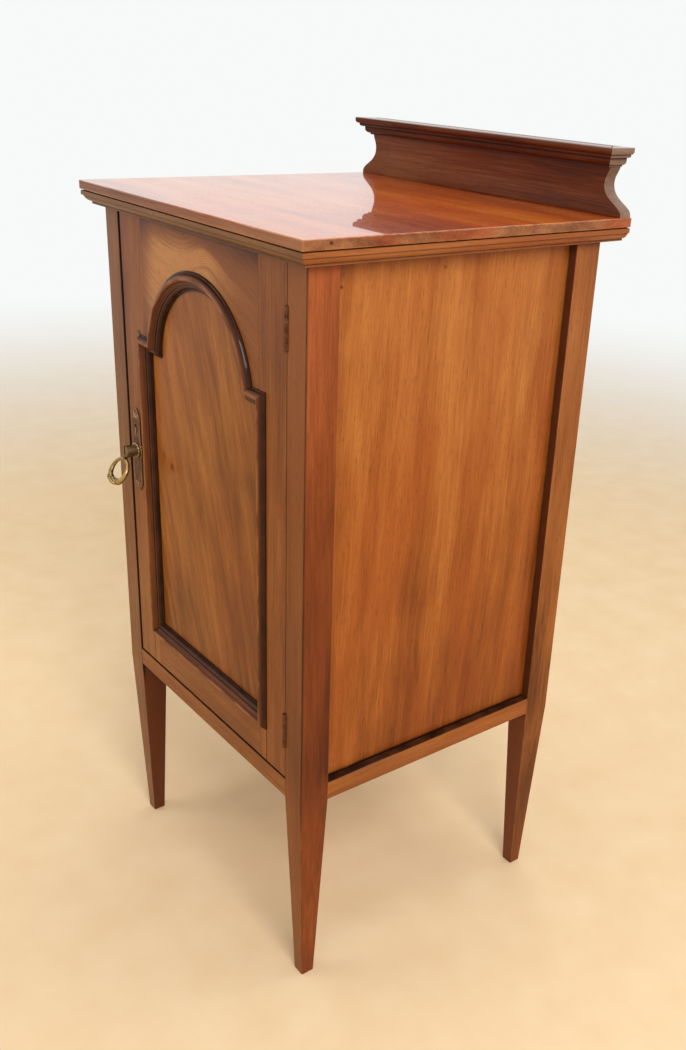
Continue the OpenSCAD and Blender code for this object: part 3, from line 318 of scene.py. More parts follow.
# The outline that lies `inset` inside the outer edge turns at its lower corner, at its shoulder
# corner, and at the seam where its shoulder meets the arch. The seam is where a circle of radius
# arch_r - inset has the height of the shoulder's line.
rings, rise = arch_r - inset, SHOULDER_RISE - inset
lower = np.array([half - inset, foot + inset])
upper = np.array([half - inset, shoulder - inset])
seam = np.array([np.sqrt(rings**2 - rise**2), shoulder - inset])
to_left = np.array([[-1], [1]])
for name, node, start, end in (
    ("bead_left", "left", lower * to_left, upper * to_left),
    ("bead_right", "right", lower, upper),
    ("bead_bottom", "bottom", lower * to_left, lower),
    ("bead_shoulder_right", "shoulders", upper, seam),
    ("bead_shoulder_left", "shoulders", upper * to_left, seam * to_left),
):
    across, up = np.stack([start, end], 1)
    bead_length(name, "door_moulding_" + node, across, up)

ARCH_STEPS = 96
seam_angle = np.arcsin(rise / rings)
angle = seam_angle + (np.pi - 2 * seam_angle) * np.linspace(0, 1, ARCH_STEPS + 1)[:, None]
arch_up = arch_middle + rings * np.sin(angle)
bead_length("bead_arch", "door_moulding_arch", rings * np.cos(angle), arch_up)
print("door moulding:", sum(name.startswith("bead") for name in pieces), "lengths")

# %% [markdown]
# ## The moulding under the top, and the gallery's cornice
#
# Both are planed lengths mitred at the corners. They could be swept round the case in one piece,
# but real lengths meet in a seam, and each has its own grain. The section is drawn as its
# distance out from the cupboard and its height. A point that stands further out runs further
# along to the mitre.

# %% Lengths that run along walls and meet in mitres
def wall_run(name, node, section, starts, ends, along, out, wall):
    """Carries a section along a wall. Point k runs along from starts[k] to ends[k]; its place
    across is wall + out times its first coordinate, and its height is its second. `along` is the
    axis of the run, 0 or 1."""
    grid = np.zeros((2, len(section), 3))
    grid[0, :, along], grid[1, :, along] = starts, ends
    grid[:, :, 1 - along] = wall + out * section[:, 0]
    grid[:, :, 2] = section[:, 1]
    # The section's inward corners are darkened: dirt, and painted shade in the hollows.
    place(add_grid(name, grid * MM, dirt=in_corners(section, 1.4)), node)


def mitred_runs(name, node, front, ends, front_wall, side, starts, back):
    """A front length from -ends to ends, and one on each side, from its mitre to the back."""
    wall_run(name + "_front", node + "_front", front, -ends, ends, 0, -1, front_wall)
    for end, way in (("_right", 1), ("_left", -1)):
        wall_run(name + end, node + end, side, starts, back, 1, way, way * side_wall)


# %% The moulding under the top
mould_low, mould_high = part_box("top_moulding_front")
front_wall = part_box("leg_front_left")[0].y / MM
side_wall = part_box("leg_front_right")[1].x / MM
top_z = mould_high.z / MM
front_out = front_wall - mould_low.y / MM
side_out = mould_high.x / MM - side_wall
back_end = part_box("top_moulding_left")[1].y / MM


def against_wall(profile, out, top):
    """Closes a profile, drawn back from its outermost point, with two corners on the wall."""
    return np.vstack([[0, 0], profile + [out, 0], [0, profile[-1, 1]]]) + [0, top]


# A shadow groove, a fillet with a soft edge, a hollow, and a small foot.
MOULD_TALL = 13.5
MOULD = np.vstack([
    [[-3, 0], [-3, -1], [-0.5, -1], [-0.1, -1.2], [0, -1.6]],
    [[0, -4.9], [-0.15, -5.3], [-0.5, -5.5], [-1.5, -5.5]],
    bend([[-1.5, -5.5], [-2.75, -8.25], [-4, -9.9], [-6.5, -11]], 10),
    [[-7.6, -11], [-8, -11.3], [-8, -MOULD_TALL]],
])
front, side = against_wall(MOULD, front_out, top_z), against_wall(MOULD, side_out, top_z)
ends = side_wall + front[:, 0] + side_out - front_out
starts = front_wall - side[:, 0] - front_out + side_out
mitred_runs("top_bead", "top_moulding", front, ends, front_wall, side, starts, back_end)
print("top moulding stands out", round(front_out, 2), round(side_out, 2))

# %% The cornice: three fillets, each with a hollow under it, stepping back to the gallery
cornice_low, cornice_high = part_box("gallery_cornice_front")
gallery_low, gallery_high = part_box("gallery_board")
cornice_top = cornice_high.z / MM
gallery_front, gallery_back = gallery_low.y / MM, gallery_high.y / MM
cornice_out = gallery_front - cornice_low.y / MM
cornice_reach = cornice_high.x / MM - side_wall
CORNICE_TALL = 17.8
CORNICE_STEPS = ((3, 3.6, 3.3), (1.7, 4.6, 1.6), (2.3, 4.7, 4.5))  # fillet; hollow's in, down
rows, x, z = [[[-0.5, 0], [-0.15, -0.15], [0, -0.5]]], 0, 0
for fillet, step, deep in CORNICE_STEPS:
    rows += [[[x, z - fillet]], hollow([x, z - fillet], [x - step, z - fillet - deep], 9)]
    x, z = x - step, z - fillet - deep
cornice = np.vstack([*rows, [[x, -CORNICE_TALL]]])

front = against_wall(cornice, cornice_out, cornice_top)
side_stands = np.maximum(front[:, 0] + cornice_reach - cornice_out, 0)
side = np.column_stack([side_stands, front[:, 1]])
ends = side_wall + side_stands
starts = gallery_front - side_stands - cornice_out + cornice_reach
mitred_runs("cornice", "gallery_cornice", front, ends, gallery_front, side, starts, gallery_back)
print("cornice stands out", round(cornice_out, 2), round(cornice_reach, 2))

# %% [markdown]
# ## The gallery board
#
# The low board at the back is sawn to an S at each end, and its edges are rubbed round. A bevel
# would catch on the many short edges of the S. So its outline is drawn once and carried through
# the thickness. Each ring near a face is drawn a little smaller, which rounds the edge.

# %% The gallery board's outline
foot_out = gallery_high.x / MM - side_wall
base_z = gallery_low.z / MM
FOOT_TALL, WAIST_Z, HEAD_Z, GALLERY_TALL = 2, 29, 44.2, 62
WAIST = -5.2
end_curve = np.vstack([
    [[foot_out, 0], [foot_out, FOOT_TALL]],
    bend([[foot_out, FOOT_TALL], [foot_out - 1, 11], [WAIST, 13.5], [WAIST, WAIST_Z]], 40),
    bend([[WAIST, WAIST_Z], [WAIST, 36.5], [-0.3, 39.5], [0, HEAD_Z]], 16),
    [[0, GALLERY_TALL]],
])
right_end = end_curve + [side_wall, base_z]
outline = np.vstack([right_end, right_end[::-1] * [-1, 1]])


# %% A slab with rounded edges
def rounded_slab(name, outline, front, back, r, steps=4):
    """Carries a closed outline from the front face to the back one. The first and last rings are
    drawn r (1 - sin a) smaller at a depth of r (1 - cos a), which is a quarter-round edge. A ring
    is drawn smaller by moving each point along the mean of its two edges' inward normals."""
    before, after = steps_round(outline)
    mean = (before + after)[:, ::-1] * [-1, 1]
    mean /= np.maximum((mean**2).sum(1, keepdims=True) / 2, 0.5)
    turn = np.linspace(0, np.pi / 2, steps + 1)
    smaller, deep = r * (1 - np.sin(turn)), r * (1 - np.cos(turn))
    smaller = np.concatenate([smaller, smaller[::-1]])
    depth = np.concatenate([front + deep, (back - deep)[::-1]])
    grid = np.zeros((len(depth), len(outline), 3))
    grid[:, :, ::2] = outline + smaller[:, None, None] * mean
    grid[:, :, 1] = depth[:, None]
    return add_grid(name, grid * MM, sharp=50)


place(rounded_slab("gallery_back", outline, gallery_front, gallery_back, 0.8), "gallery_board")
print("gallery outline:", len(outline), "points")

# %% [markdown]
# ## The drop handle
#
# A cast brass drop hangs from a slotted post: two strands that swell towards an ornamented grip,
# with collars on each side of it. It could be bent from a curve with a bevel, but the girth
# changes all the way round and the grip is fluted. So it is a tube round a closed path, whose
# radius is a function of the place along the path and the angle round it.

# %% A tube round a flat path
def tube(name, path, radius, facing, closed=True, **marks):
    """Carries a ring along a path that lies in a plane. At each point of the path the ring's two
    directions are the plane's normal and that normal crossed with the path's own direction.
    `radius` is an array of (points of the path, points of the ring), in millimetres."""
    steps = np.roll(path, -1, 0) - np.roll(path, 1, 0) if closed else np.gradient(path, axis=0)
    steps /= np.linalg.norm(steps, axis=1, keepdims=True)
    outward = np.cross(steps, facing)
    around = full_turn(radius.shape[1])[None, :, None]
    ring = np.cos(around) * outward[:, None] + np.sin(around) * facing
    points = path[:, None] + radius[..., None] * ring
    return add_grid(name, points * MM, closed, sharp=60, **marks)


# %% The drop's path, in millimetres
swing = next(joint for joint in frame["joints"] if joint["name"] == "handle_swing")
PIVOT = np.array(swing["pos_m"]) / MM
TILT = math.radians(33)
DROP_LONG, DROP_TOP, DROP_WIDE = 35.5, 10.6, 31
BOW = (DROP_LONG - DROP_TOP) / 2
FLAT = DROP_WIDE / 2 - BOW


def hung(across, out, down):
    """Points in millimetres from the pivot, turned by the drop's tilt."""
    y = PIVOT[1] + out * math.cos(TILT) - down * math.sin(TILT)
    z = PIVOT[2] - out * math.sin(TILT) - down * math.cos(TILT)
    return np.stack(np.broadcast_arrays(PIVOT[0] + across, y, z), -1)


# Each half of the path starts in the middle of the grip: a flat, half a circle, and a flat back
# to the tab. `along` is the distance from that middle, to the left or to the right.
path_half = 2 * FLAT + np.pi * BOW
along = np.linspace(-path_half, path_half, 320, endpoint=False)
far_along = np.abs(along)
bow_angle = np.clip((far_along - FLAT) / BOW, 0, np.pi)
last_flat = np.maximum(far_along - FLAT - np.pi * BOW, 0)
across = np.minimum(far_along, FLAT) + BOW * np.sin(bow_angle) - last_flat
drop_path = hung(np.sign(along) * across, 0, DROP_LONG - BOW + BOW * np.cos(bow_angle))

# %% The drop's girth
STRAND, STRAND_SWELL = 1.95, 0.85
BARREL, BARREL_LONG, BARREL_END = 4.05, 10.4, 7.6
COLLARS = ((8.1, 0.75), (10.3, 0.95), (12.2, 0.5))
FLUTES, FLUTE_TWIST, FLUTE_DEEP = 7, 0.55, 0.075
phi = full_turn(40)[None]
strand = STRAND + STRAND_SWELL * (0.5 + 0.5 * np.cos(fade(bow_angle, 0.45, 2.55) * np.pi))
barrel = BARREL * np.sqrt(fade((far_along / BARREL_LONG) ** 2, 1, 0)) * (far_along < BARREL_END)
collar = sum(size * hump(far_along, at, 0.62) for at, size in COLLARS)
girth = np.maximum(barrel, strand) + collar
in_grip = fade(far_along, 7.4, 6.2)[:, None]
flutes = in_grip * np.cos(FLUTES * phi + along[:, None] * FLUTE_TWIST)
radius = girth[:, None] * (1 + FLUTE_DEEP * flutes - 0.03 * in_grip)
between_collars = hump(far_along, 9.2, 1.3)[:, None]
bright = 0.45 + 0.45 * flutes + 0.2 * np.sin(phi * 2 + 0.8) - 0.8 * between_collars
facing = (0, math.cos(TILT), -math.sin(TILT))
drop = tube("drop_ring", drop_path, radius, facing, raised=np.clip(bright, 0, 1))
place(drop, "handle_drop")

# %% The eye and the tab that hang it
EYE, HOLE, CHEEK, SOFT, TAB_DEEP = 4.2, 1.3, 1.35, 0.4, 1.9
eye_r, eye_side = np.array([
    [HOLE, -CHEEK], [EYE - SOFT, -CHEEK], [EYE, SOFT - CHEEK],
    [EYE, CHEEK - SOFT], [EYE - SOFT, CHEEK], [HOLE, CHEEK],
]).T
turn = full_turn(48)[:, None]
eye_grid = hung(eye_side, eye_r * np.cos(turn), eye_r * np.sin(turn))
place(add_grid("drop_eye", eye_grid * MM, wrap_rows=True), "handle_drop")
tab_side, tab_out = (np.array([[-1, -1], [1, -1], [1, 1], [-1, 1]]) * [CHEEK, TAB_DEEP]).T
tab_grid = hung(tab_side, tab_out, np.array([[EYE - 0.8], [DROP_TOP]]))
place(add_grid("drop_tab", tab_grid * MM), "handle_drop")
print("drop hangs to", drop_path[:, 2].min().round(1), "mm; girth up to", girth.max().round(2))

# %% [markdown]
# ## The handle's plate and post
#
# The plate is pressed brass with a raised border, a pair of scrolls at each end and a beaded
# rosette under the post. The relief could be bump alone, but it catches the light and has to
# show from the side. So the plate and the post keep their solids with softened edges, and the
# raised work is made of tubes half sunk in the plate, which is how pressed relief looks.

# %% Plate, post and pins
SOFTENED = {"handle_plate": 0.35, "handle_post": 0.75, "plate_pins": 0.15, "handle_pin": 0.2}
for node, width in SOFTENED.items():
    place(rubbed_copy(node, width, shortest=0.5, steps=2), node)
plate_low, plate_high = np.array(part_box("handle_plate")) / MM
plate_middle = (plate_low + plate_high) / 2
plate_wide, half_tall = (plate_high - plate_low)[0], (plate_high - plate_low)[2] / 2
FRONT = (0, -1, 0)
END_SHARE, TIP_SHARE, STRIP = 0.39, 0.23, 8.5


def on_plate_front(x, z, lift=0):
    """Points in millimetres on the plate's front, from its middle."""
    y = np.full(np.shape(x), plate_low[1] - lift)
    return np.stack([plate_middle[0] + x, y, plate_middle[2] + z], -1)


def plate_half_width(z):
    """Half the plate's width at a height: the widest of a strip and of the circles at its middle
    and its ends, each of which is sqrt(r^2 - (z - middle)^2) wide."""
    end_r, tip_r = plate_wide * END_SHARE, plate_wide * TIP_SHARE
    end_z = half_tall - tip_r - end_r * 0.8
    widths = [np.where(np.abs(z) < end_z, STRIP, 0)]
    for r, at in ((plate_wide / 2, 0), (end_r, end_z), (tip_r, half_tall - tip_r)):
        widths.append(np.sqrt(np.clip(r**2 - (np.abs(z) - at) ** 2, 0, None)))
    return np.max(widths, 0)


# %% The raised border
BORDER_INSET, BORDER_R = 1.2, 0.45
height = np.sin(np.linspace(-np.pi / 2, np.pi / 2, 160)[1:-1])
border_z = (half_tall - BORDER_INSET) * height
border_x = np.clip(plate_half_width(half_tall * height) - BORDER_INSET, 0.05, None)
border_path = on_plate_front(
    np.concatenate([border_x, -border_x[::-1]]), np.concatenate([border_z, border_z[::-1]])
)
border_r = np.full((len(border_path), 10), BORDER_R)
place(tube("plate_border", border_path, border_r, FRONT, raised=0.35), "handle_plate")

# %% The scrolls: spirals whose radius shrinks as they turn
SCROLLS = (("top", 38.6, 1, 0.75), ("bottom", -39.2, -1, 0.5))  # height, way up, brightness
wound = np.linspace(0, 1, 70)
spiral_r = 0.35 + 2.5 * (1 - wound) ** 0.8
spiral_x = spiral_r * np.cos(np.pi * (0.5 + 2.3 * wound))
spiral_z = spiral_r * np.sin(np.pi * (0.5 + 2.3 * wound)) * 1.25
scroll_r = np.repeat((0.85 - 0.35 * wound)[:, None], 10, 1)
for name, at, way, raised in SCROLLS:
    for side, out in (("left", -1), ("right", 1)):
        path = on_plate_front(out * (3 + spiral_x), at + way * spiral_z)
        full_name = f"plate_scroll_{name}_{side}"
        place(tube(full_name, path, scroll_r, FRONT, closed=False, raised=raised), "handle_plate")

# %% The beaded rosette under the post
ROSETTE, ROSETTE_LIFT, BEADS = 7, 1.2, 12
turn = full_turn(120)
rosette = on_plate_front(ROSETTE * np.cos(turn), ROSETTE * np.sin(turn), ROSETTE_LIFT)
beaded = np.repeat(0.45 * np.abs(np.cos(BEADS / 2 * turn))[:, None], 12, 1)
place(tube("post_rosette", rosette, 0.95 + beaded, FRONT, raised=beaded), "handle_post")
handle = [name for name in pieces if name.startswith(("drop", "plate", "post", "handle"))]
print("handle pieces:", handle)

# %% [markdown]
# ## Shader maths as Python expressions
#
# A finish is a long sum of noises and masks. Written as nodes it is hard to read, so one small
# class wraps a socket and adds a Math node for each operator. Any other node comes from one
# method, which takes the node's type, its settings and what goes into its sockets.

# %% A wrapped socket
class Wire:
    """An output socket of a material, with the arithmetic that the finishes use."""

    def __init__(self, tree, output):
        self.tree = tree
        self.output = output

    def node(self, kind, settings=None, sockets=None, out=0):
        """Adds a node, makes its settings first, then sets or links its sockets."""
        made = self.tree.nodes.new("ShaderNode" + kind)
        for name, value in (settings or {}).items():
            if name == "stops":
                elements = made.color_ramp.elements
                while len(elements) < len(value):
                    elements.new(1)
                for element, stop in zip(elements, value):
                    element.position, element.color = stop
            else:
                setattr(made, name, value)
        for name, value in (sockets or {}).items():
            if isinstance(value, Wire):
                self.tree.links.new(value.output, made.inputs[name])
            else:
                made.inputs[name].default_value = value
        return Wire(self.tree, made.outputs[out])

    def maths(self, operation, *others):
        """A Math node with this value as its first operand."""
        return self.node("Math", {"operation": operation}, dict(enumerate((self, *others))))

    def __add__(self, other):
        return self.maths("ADD", other)

    def __sub__(self, other):
        return self.maths("SUBTRACT", other)

    def __mul__(self, other):
        return self.maths("MULTIPLY", other)

    def __rsub__(self, other):
        return self * -1 + other

    __radd__ = __add__
    __rmul__ = __mul__

    def step(self, low, high):
        """0 below low, 1 above high, and a smooth rise between; high may be the lower one."""
        ends = {"Value": self, "From Min": low, "From Max": high, "To Min": 0, "To Max": 1}
        return self.node("MapRange", {"interpolation_type": "SMOOTHSTEP"}, ends)

    def mixed(self, other, share):
        """This colour mixed with another one, by a share from 0 to 1."""
        return self.node("Mix", {"data_type": "RGBA"}, {0: share, 6: self, 7: other}, 2)


def strongest(mask, *others):
    """The highest of several masks at each point."""
    for other in others:
        mask = mask.maths("MAXIMUM", other)
    return mask


# %% Colours and empty finishes
def srgb(red, green, blue):
    """A colour written as it looks on a screen, from 0 to 255, in the linear values that light
    adds up in, with its alpha."""
    values = np.array([red, green, blue]) / 255
    linear = np.where(values <= 0.04045, values / 12.92, ((values + 0.055) / 1.055) ** 2.4)
    return (*linear.tolist(), 1)


def shaded(tone, factors):
    """A colour from 0 to 255 made darker or lighter by a factor, or by one for each channel."""
    return srgb(*(np.array(tone) * factors).clip(0, 250))


def new_finish(name, constants):
    """A material whose surface shader has some constants, that shader, and a wire to start from,
    which is the point's place."""
    material = bpy.data.materials.new(name)
    material.use_nodes = True
    tree = material.node_tree
    surface = tree.nodes["Principled BSDF"]
    for socket, value in constants.items():
        surface.inputs[socket].default_value = value
    return material, surface, Wire(tree, tree.nodes.new("ShaderNodeTexCoord").outputs["Object"])


def feed(surface, wire, socket):
    """Links a wire to one of the surface shader's sockets."""
    wire.tree.links.new(wire.output, surface.inputs[socket])


def feed_bumps(surface, height):
    """Links heights in millimetres to the surface shader, as bumps."""
    sockets = {"Height": height, "Distance": MM, "Strength": 1}
    feed(surface, height.node("Bump", sockets=sockets), "Normal")


def marked(place, name):
    """What a mesh carries under a mark's name, or 0 where it has no such mark."""
    return place.node("Attribute", {"attribute_name": name}, out=2)


# %% [markdown]
# ## Mahogany
#
# Polished mahogany is an orange-brown ground with darker bands, soft ribbons that change with the
# interlocked grain, fine streaks, and thousands of short dark pores. A photograph of a veneer
# would repeat, and would stretch round the mouldings. Noise in three dimensions runs through a
# board as its grain does. All these features are long in the grain and narrow across it. So the
# first step turns a point into millimetres along, across and through the board, and every noise
# is stretched in those directions. Where the figure curls over the arch, along is an angle round
# a centre and across is the distance from it.

# %% Places in the grain
AXES = {"x": "xzy", "y": "yzx", "z": "zxy", "side": "zyx"}
NEIGHBOURS = 4000  # millimetres that a seed may shift a board's figure


def millimetres(place):
    """A point's three coordinates in millimetres, by the names of their axes."""
    return {
        axis: place.node("SeparateXYZ", sockets={0: place}, out=k) * 1000
        for k, axis in enumerate("xyz")
    }


def in_grain(place, grain, seed, lean=0, centre=(0, 0)):
    """A vector of millimetres along, across and through the board. The seed shifts it, so that no
    two boards share their figure. `lean` slants the grain by that many millimetres for each one
    along. Grain "round" turns round a centre in the plane of the door: along is an angle times
    110 mm, and across the distance. Grain "wave" is level grain that swells over the arch: its
    lines follow 16 exp(-((x - 20) / 30)^2) - 18 (x / 100)^3."""
    parts = millimetres(place)
    if grain == "round":
        dx, dz = parts["x"] - centre[0], parts["z"] - centre[1]
        away = (dx * dx + dz * dz).maths("SQRT")
        order = [dz.maths("ARCTAN2", dx) * 110, away, parts["y"]]
    elif grain == "wave":
        off = (parts["x"] - 20) * (1 / 30)
        third = parts["x"] * 0.01
        swell = (off * off * -1).maths("EXPONENT") * 16
        order = [parts["x"], parts["z"] - swell + third * third * third * 18, parts["y"]]
    else:
        along, across, through = (parts[axis] for axis in AXES[grain])
        order = [along, across + along * lean, through]
    rng = np.random.default_rng(seed)
    shifted = [part + float(rng.uniform(-NEIGHBOURS, NEIGHBOURS)) for part in order]
    return place.node("CombineXYZ", sockets=dict(enumerate(shifted)))


def noise(grain, sizes, detail=2, rough=0.5):
    """Noise from 0 to 1 whose features are about `sizes` millimetres long, wide and deep."""
    shrink = tuple(1 / size for size in sizes)
    scaled = grain.node("VectorMath", {"operation": "MULTIPLY"}, {0: grain, 1: shrink})
    sockets = {"Vector": scaled, "Scale": 1, "Detail": detail, "Roughness": rough}
    return grain.node("TexNoise", sockets=sockets)


# %% Dirt, painted shade and marks at known places
def shade_and_grime_near(place, grain, lines):
    """Masks from 0 to 1, each strongest at its own line: dirt with painted shade in gaps, creases and
    under the mouldings, or painted highlight lines. A line is an axis, a coordinate on it, a
    reach and a strength, in millimetres. Axis "r" is the distance from the middle of the door's
    arch, above the shoulders, and "low x" is x below them. "front" before an axis keeps the mark
    in the first millimetres behind the cupboard's front, where the gaps lie in shade."""
    parts = millimetres(place)
    dx, dz = parts["x"] - middle, parts["z"] - arch_middle
    parts["r"] = (dx * dx + dz * dz).maths("SQRT")
    ragged = 0.65 + noise(grain, (18, 14, 14), 2) * 0.7
    masks = []
    for axis, where, reach, strength in lines:
        near = (parts[axis[-1]] - where).maths("ABSOLUTE").step(reach, 0)
        if axis[-1] == "r":
            near = near * parts["z"].step(arch_middle - 1, arch_middle + 2)
        if "low" in axis:
            near = near * parts["z"].step(shoulder + 1, shoulder)
        if "front" in axis:
            near = near * parts["y"].step(face_y + 3.5, face_y + 1.5)
        masks.append(near * ragged * strength)
    return masks


def stains_at(place, axes, stains):
    """Masks from 0 to 1 of soft oval stains. A stain is its middle and its half sizes on two
    axes, and its strength."""
    one, other = (millimetres(place)[axis] for axis in axes)
    masks = []
    for one_at, other_at, one_size, other_size, strength in stains:
        dx, dz = (one - one_at) * (1 / one_size), (other - other_at) * (1 / other_size)
        masks.append((dx * dx + dz * dz).maths("SQRT").step(1, 0.15) * strength)
    return masks


# %% What a board's look can say
LOOK = dict(
    # The figure: the grain's slant, its centre and its waver, the tone to start from, how far each
    # feature moves it, a place where the ribbons blaze with a painted sheen, and slow changes along
    # an axis, which on the side and the rear legs paint light falling off.
    lean=0, centre=(0, 0), warp=9, base=0.5, band=0.45, ribbon=0.45, ribbon_size=8,
    ribbon_length=110, streak=0.35, cloud=0.35, bloom=None, glow=(),
    # The colour over it: a red blush, pores, dark specks, and other tones on an edge (on the gallery
    # a pale painted reflection), on the outer sides, and painted shade on the inner faces.
    blush=0.25, pores=0.3, specks=0, edge=None, side=None, inner=None,
    # Wear, dirt and painted light: rubbed arrises and their colour, painted highlight lines, lines of
    # dirt and painted shade, and stains, some of them painted shade.
    wear=0.35, arris=None, rubs=(), grime=(), stains=(), stain_axes="yz",
    # The polish: its dullness, the coat, where it is glossy, and the ripples and pits in it.
    rough=0.34, coat=0.22, coat_rough=0.12, gloss_above=None, wave=0.02,
    ripple=(90, 12, 20), pits=0.008,
)
SPECK, DIRT_AND_SHADE = srgb(45, 22, 12), srgb(38, 16, 8)


# %% The figure and its colours
def figure(place, straight, wood, look):
    """How light the wood is at each point, from about 0 to 1: the base, plus each feature's noise
    times its strength."""
    bands = noise(wood, (420, 34, 45), 1) - 0.5
    ribbons = noise(wood, (look.ribbon_length, look.ribbon_size, 30), 2) - 0.5
    streaks = noise(wood, (60, 1.7, 2.5), 2, 0.6) - 0.5
    clouds = noise(straight, (120, 60, 60), 3) - 0.5
    if look.bloom:
        [bloom] = stains_at(place, "xz", [look.bloom])
        ribbons = ribbons * (0.35 + bloom * 1.3) + bloom * 0.36
    tone = look.base + bands * look.band + ribbons * look.ribbon
    tone = tone + streaks * look.streak + clouds * look.cloud
    for axis, dark_at, light_at, strength in look.glow:
        tone = tone + (millimetres(place)[axis].step(dark_at, light_at) - 0.5) * strength
    return tone


def toned(tone, tones):
    """Turns a number from 0 to 1 into a colour between the dark, middle and light tones."""
    stops = [(at, srgb(*colour)) for at, colour in zip((0.15, 0.5, 0.85), tones)]
    return tone.node("ValToRGB", {"stops": stops}, {0: tone})


def board_colour(place, straight, tone, pore, tones, look):
    """The colour of clean wood: its tones, other tones on an edge (on the gallery a pale painted reflection), a
    blush, the pores and a few specks.
    """
    colour = toned(tone, tones)
    if look.edge:
        axis, edge_at, face_at, edge_tones = look.edge
        on_face = millimetres(place)[axis].step(edge_at, face_at)
        colour = toned(tone, edge_tones).mixed(colour, on_face)
    if look.side:
        colour = colour.mixed(toned(tone, look.side), marked(place, "side"))
    blush = noise(straight, (260, 90, 90), 1).step(0.42, 0.66)
    colour = colour.mixed(shaded(tones[1], [1.02, 0.84, 0.78]), blush * look.blush)
    colour = colour.mixed(shaded(tones[0], 0.55), pore * look.pores)
    if look.specks:
        spots = place.node("TexVoronoi", sockets={"Vector": place, "Scale": look.specks})
        chosen = noise(straight, (35, 35, 35), 0).step(0.6, 0.68)
        colour = colour.mixed(SPECK, spots.step(0.06, 0.02) * chosen * 0.7)
    return colour


def wear_and_painted_light(place, straight, colour, tones, look):
    """That colour rubbed off in patches along the arrises (on the mouldings' crests and the top's
    edge with a painted highlight too), lighter along painted highlight lines, and darker with
    painted shade on the inner faces."""
    worn_and_lit = shaded(tones[2], [1.12, 1.1, 1.08])
    arris = srgb(*look.arris) if look.arris else worn_and_lit
    patch = noise(straight, (26, 9, 9), 2).step(0.38, 0.62)
    colour = colour.mixed(arris, marked(place, "arris") * patch * look.wear)
    for highlight in shade_and_grime_near(place, straight, look.rubs):
        colour = colour.mixed(worn_and_lit, highlight)
    if look.inner:
        colour = colour.mixed(srgb(*look.inner), marked(place, "inner") * 0.85)
    return colour


# %% One recipe for every mahogany board
def mahogany(name, grain, tones, seed, **look):
    """A polished board. `tones` are its dark, middle and light colours. The look's numbers say how
    much each feature of the figure moves the tone."""
    look = SimpleNamespace(**(LOOK | look))
    material, surface, place = new_finish(name, {
        "Specular IOR Level": 0.05, "Coat Weight": look.coat, "Coat Roughness": look.coat_rough,
    })
    straight = in_grain(place, grain, seed, look.lean, look.centre)
    drift = (noise(straight, (300, 80, 80), 1) - 0.5) * look.warp
    shift = place.node("CombineXYZ", sockets={1: drift * 2, 2: drift})
    wood = place.node("VectorMath", {"operation": "ADD"}, {0: straight, 1: shift})

    pore = noise(wood, (9, 0.9, 0.9), 1, 0.6).step(0.56, 0.74)
    tone = figure(place, straight, wood, look)
    colour = board_colour(place, straight, tone, pore, tones, look)
    colour = wear_and_painted_light(place, straight, colour, tones, look)
    # Dirt and painted shade: the mark of hollows, dark lines along joints, gaps and creases, and stains.
    dirt = strongest(
        marked(place, "dirt") * (0.55 + noise(straight, (18, 10, 10), 2) * 0.65),
        *shade_and_grime_near(place, straight, look.grime),
        *stains_at(place, look.stain_axes, look.stains),
    )
    feed(surface, colour.mixed(DIRT_AND_SHADE, dirt.maths("MINIMUM", 1)), "Base Color")

    smudge = noise(straight, (45, 38, 38), 3) - 0.5
    feed(surface, look.rough + smudge * 0.16 + pore * 0.12 + dirt * 0.3, "Roughness")
    feed_bumps(surface, noise(wood, look.ripple, 1) * look.wave - pore * look.pits)
    if look.gloss_above:
        on_top = millimetres(place)["z"].step(look.gloss_above - 1, look.gloss_above - 0.2)
        feed(surface, on_top * (1 - look.coat) + look.coat, "Coat Weight")
    return material


def finish_with(things, material):
    """Gives pieces or nodes one material."""
    for thing in things:
        thing.data.materials.clear()
        thing.data.materials.append(material)


def board(names, *recipe, **look):
    """Finishes the named pieces with one mahogany."""
    finish_with([pieces[name] for name in names.split()], mahogany(*recipe, **look))


# %% [markdown]
# ## The finishes of this cupboard
#
# Each board was cut from a different plank, so each has its own tones. The side is the lightest,
# a warm orange-brown with vertical ribbons. The mouldings and the gallery are stained darker. The
# rail over the arch has a curl in its figure. The top is the glossiest, because it was polished
# most. One material could serve them all, but then they would look cut from one plank. So one
# recipe makes a material for each, from its tones, a seed and a few numbers.

# %% Tones: dark, middle and light
SIDE = ((126, 62, 22), (164, 90, 35), (194, 121, 56))
LEG = ((98, 52, 22), (136, 79, 35), (146, 88, 42))
LEG_SIDE = ((84, 34, 12), (132, 64, 26), (172, 91, 43))
LEG_REAR = ((104, 54, 22), (158, 92, 42), (186, 118, 62))
FRONT_LEG = ((92, 54, 26), (132, 84, 46), (164, 110, 66))
DOOR = ((96, 48, 18), (140, 80, 34), (170, 108, 54))
PANEL = ((104, 54, 16), (151, 88, 34), (182, 116, 52))
CURL = ((98, 50, 20), (142, 84, 38), (198, 134, 74))
BEAD = ((60, 26, 8), (104, 52, 18), (142, 80, 36))
GALLERY = ((58, 24, 5), (104, 48, 14), (136, 82, 44))
CORNICE = ((48, 18, 5), (86, 39, 14), (122, 68, 34))
# The next tones are a pale greyish copy that paints the pale surround's reflection on the gallery's top and ends
# and on the cornice's sides.
RETURN_REFLECTION = ((116, 92, 78), (146, 118, 100), (172, 146, 126))
TOP = ((142, 50, 4), (206, 92, 12), (230, 130, 36))
EDGE = ((100, 56, 30), (146, 88, 51), (180, 122, 76))
FRONT_EDGE = ((86, 50, 26), (124, 82, 46), (154, 106, 64))
COVE = ((114, 60, 28), (164, 95, 48), (190, 126, 72))
INSIDE = ((112, 74, 44), (160, 116, 76), (190, 148, 104))
BACK = ((90, 52, 30), (134, 86, 52), (170, 120, 80))
